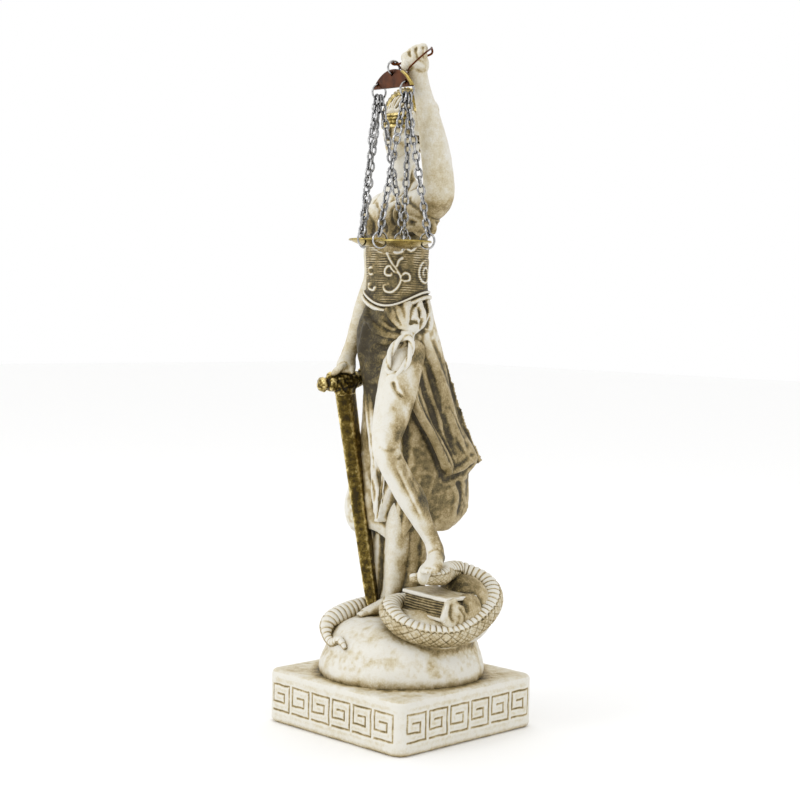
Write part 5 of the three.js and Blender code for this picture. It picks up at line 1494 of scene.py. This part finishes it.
def beam():
    """The half-moon beam of thin sheet with softened edges and three holes, and a bright brass band along
    one half of its arch, a painted highlight for the light falling on that half.
    """
    half = BEAM_SPAN / 2
    bow = (half**2 + BEAM_RISE**2) / (2 * BEAM_RISE)
    sweep = math.asin(half / bow)
    outline = [(bow * math.sin(a), BEAM_RISE - bow + bow * math.cos(a))
               for a in np.linspace(-sweep, sweep, 49)]
    outline += [(half - BEAM_SPAN * i / 24, 0.0) for i in range(1, 24)]
    outline = np.array(outline)
    middle = np.array([0, BEAM_RISE * 0.42])
    rings = []
    for depth, inset in ((-1, 0.22), (-0.75, 0.06), (-0.4, 0), (0.4, 0), (0.75, 0.06), (1, 0.22)):
        flat = outline + unit(middle - outline) * inset
        rings.append(np.column_stack([flat, np.full(len(flat), depth * BEAM_THICKNESS / 2)]))
    thing = make("beam", [shell(np.array(rings))])
    face_out(thing)
    for x, y in ((0, BEAM_RISE - BEAM_HOLE_INSET), (beam_tip, BEAM_HOLE_INSET),
                 (-beam_tip, BEAM_HOLE_INSET)):
        bpy.ops.mesh.primitive_cylinder_add(vertices=24, radius=BEAM_HOLE / 2, depth=4, location=(x, y, 0))
        drill = bpy.context.object
        bpy.ops.object.transform_apply(location=True)
        modify(thing, "BOOLEAN", operation="DIFFERENCE", object=drill, solver="EXACT")
        bpy.data.objects.remove(drill)
    places, _ = read(thing)
    places[:, 1] -= BEAM_RISE - BEAM_HOLE_INSET
    places = beam_top + places[:, 0:1] * beam_way + places[:, 1:2] * beam_up + places[:, 2:3] * beam_out
    write(thing, places)
    place(thing, "scale_beam", copper, angle=35)
    # Painted highlight: a brighter brass band along only one half of the arch, standing for light falling
    # on that half of the beam.
    rim = []
    for a in np.linspace(0.4, 0.97, 12) * sweep:
        x, y = bow * math.sin(a), bow * math.cos(a) - bow + BEAM_HOLE_INSET
        rim.append((*(beam_top + x * beam_way + y * beam_up), *BEAM_SHEEN_SIZE))
    edge = tube(rim, across=beam_up, sides=16, step=0.3)
    hardware("beam_sheen_band", [edge], brass, "scale_beam")


def hanger():
    """The copper wire through the fist and the top ring, with its twisted end behind the fist."""
    through = top_ring_centre + (0, 0, top_half - RING_WIRE / 2 - 0.4 - 0.3)
    hook = wire_right + (0.3, -0.2, 2.2)
    front = [hook, wire_right, fist_centre, wire_left, through + (-0.6, -0.6, 0.4)]
    wire = tube([(*point, WIRE_HALF) for point in front], across=UP, sides=12, step=0.3)
    out = unit(np.array([0.7, -0.7, 0.0]))
    back = [
        hook,
        wire_right + out * 2.0 + (0, 0, 1.6),
        fist_centre + out * 6.4 + view_right * 3.4 + UP * 1.0,
        fist_centre + out * 6.0 - view_right * 1.4 - UP * 3.4,
        beam_top + out * 0.4 + view_right * 4.4 + UP * 0.2,
        through - out * 1.0 + view_right * 1.6 - UP * 0.4,
        through - view_right * 0.3 + UP * 0.5,
    ]
    strand = tube([(*point, STRAND_HALF) for point in back], across=UP, sides=12, step=0.3)
    hardware("hanger_wire_round", [wire, strand], copper, "hanger_wire")


def hanging_pan(name, way, first_turn):
    """One side of the scales: the ring at the beam's tip, the pan, its three rings and its three chains."""
    hole = beam_top + beam_way * way * beam_tip - beam_up * (BEAM_RISE - 2 * BEAM_HOLE_INSET)
    ring_centre = hole + UP * (-ring_half + 0.1)
    wire_ring(f"{name}_beam_ring", ring_centre, ring_half, beam_way)
    pan_centre = ring_centre - UP * PAN_DROP
    pan(f"{name}_pan", pan_centre)
    sideways = unit(np.cross(beam_way, UP))
    angles = [math.radians(first_turn) + TURN * i / 3 for i in range(3)]
    outs = [np.array([math.cos(a), math.sin(a), 0]) for a in angles]
    order = sorted(out @ sideways for out in outs)
    for i, out in enumerate(outs):
        rim = pan_centre + out * pan_half + UP * PAN_RING_RISE
        tangent = np.cross(out, UP)
        wire_ring(f"{name}_pan_ring_{i + 1}", rim, ring_half, tangent)
        grip = CHAIN_SPREAD * (order.index(out @ sideways) - 1)
        top = ring_centre + sideways * ring_half * math.sin(grip)
        top = top - UP * (ring_half * math.cos(grip) + LINK_SEAT)
        bottom = rim + UP * (ring_half + LINK_SEAT)
        chain(f"{name}_chain_{i + 1}", top, bottom, beam_way, tangent, i)


# Stage

# Each lamp's name, place in metres, size in metres and power in watts
LAMPS = (("key", (-0.2, -0.85, 0.6), 0.3, 1.7), ("top", (-0.1, 0.1, 1.0), 0.4, 0.7))
LAMP_AIM = np.array([0, 0, 0.13])


def stage():
    """A pale floor, soft lights and the photograph's camera."""
    bpy.ops.mesh.primitive_plane_add(size=6)
    floor = bpy.context.object
    floor.name = "floor"
    material, _, shader, _ = blank("pale_floor")
    shader.inputs["Base Color"].default_value = (0.97, 0.97, 0.965, 1)
    shader.inputs["Roughness"].default_value = 0.9
    floor.data.materials.append(material)
    world = bpy.data.worlds.new("studio")
    world.use_nodes = True
    background = world.node_tree.nodes["Background"]
    background.inputs["Color"].default_value = (1, 1, 1, 1)
    background.inputs["Strength"].default_value = 1.0
    bpy.context.scene.world = world
    for name, spot, size, power in LAMPS:
        lamp = bpy.data.lights.new(name, "AREA")
        lamp.size = size
        lamp.energy = power
        thing = bpy.data.objects.new(name, lamp)
        thing.location = spot
        thing.rotation_mode = "QUATERNION"
        thing.rotation_quaternion = Vector(LAMP_AIM - spot).to_track_quat("-Z", "Y")
        bpy.context.scene.collection.objects.link(thing)
    camera = bpy.data.cameras.new("camera")
    camera.sensor_width = SENSOR
    camera.lens = VIEW_FOCUS / PICTURE * SENSOR
    camera.shift_x = (PICTURE / 2 - VIEW_CENTRE[0]) / PICTURE
    camera.shift_y = (VIEW_CENTRE[1] - PICTURE / 2) / PICTURE
    camera.clip_start = 0.01
    camera.clip_end = 20
    thing = bpy.data.objects.new("camera", camera)
    bpy.context.scene.collection.objects.link(thing)
    rotation = np.column_stack([view_right, view_up, -forward])
    thing.matrix_world = Matrix.Translation(Vector(eye * MM)) @ Matrix(rotation.tolist()).to_4x4()
    bpy.context.scene.camera = thing
    bpy.context.scene.view_settings.view_transform = "Standard"


stage()
plinth()
mound()
upper_figure()
head()
blindfold()
diadem()
bodice()
dress()
loop_and_knot()
legs()
snake()
book()
blade()
sword_guard()
beam()
hanger()
wire_ring("top_ring", top_ring_centre, top_half, beam_way)
hanging_pan("right", -1, 45)
hanging_pan("left", 1, 15)
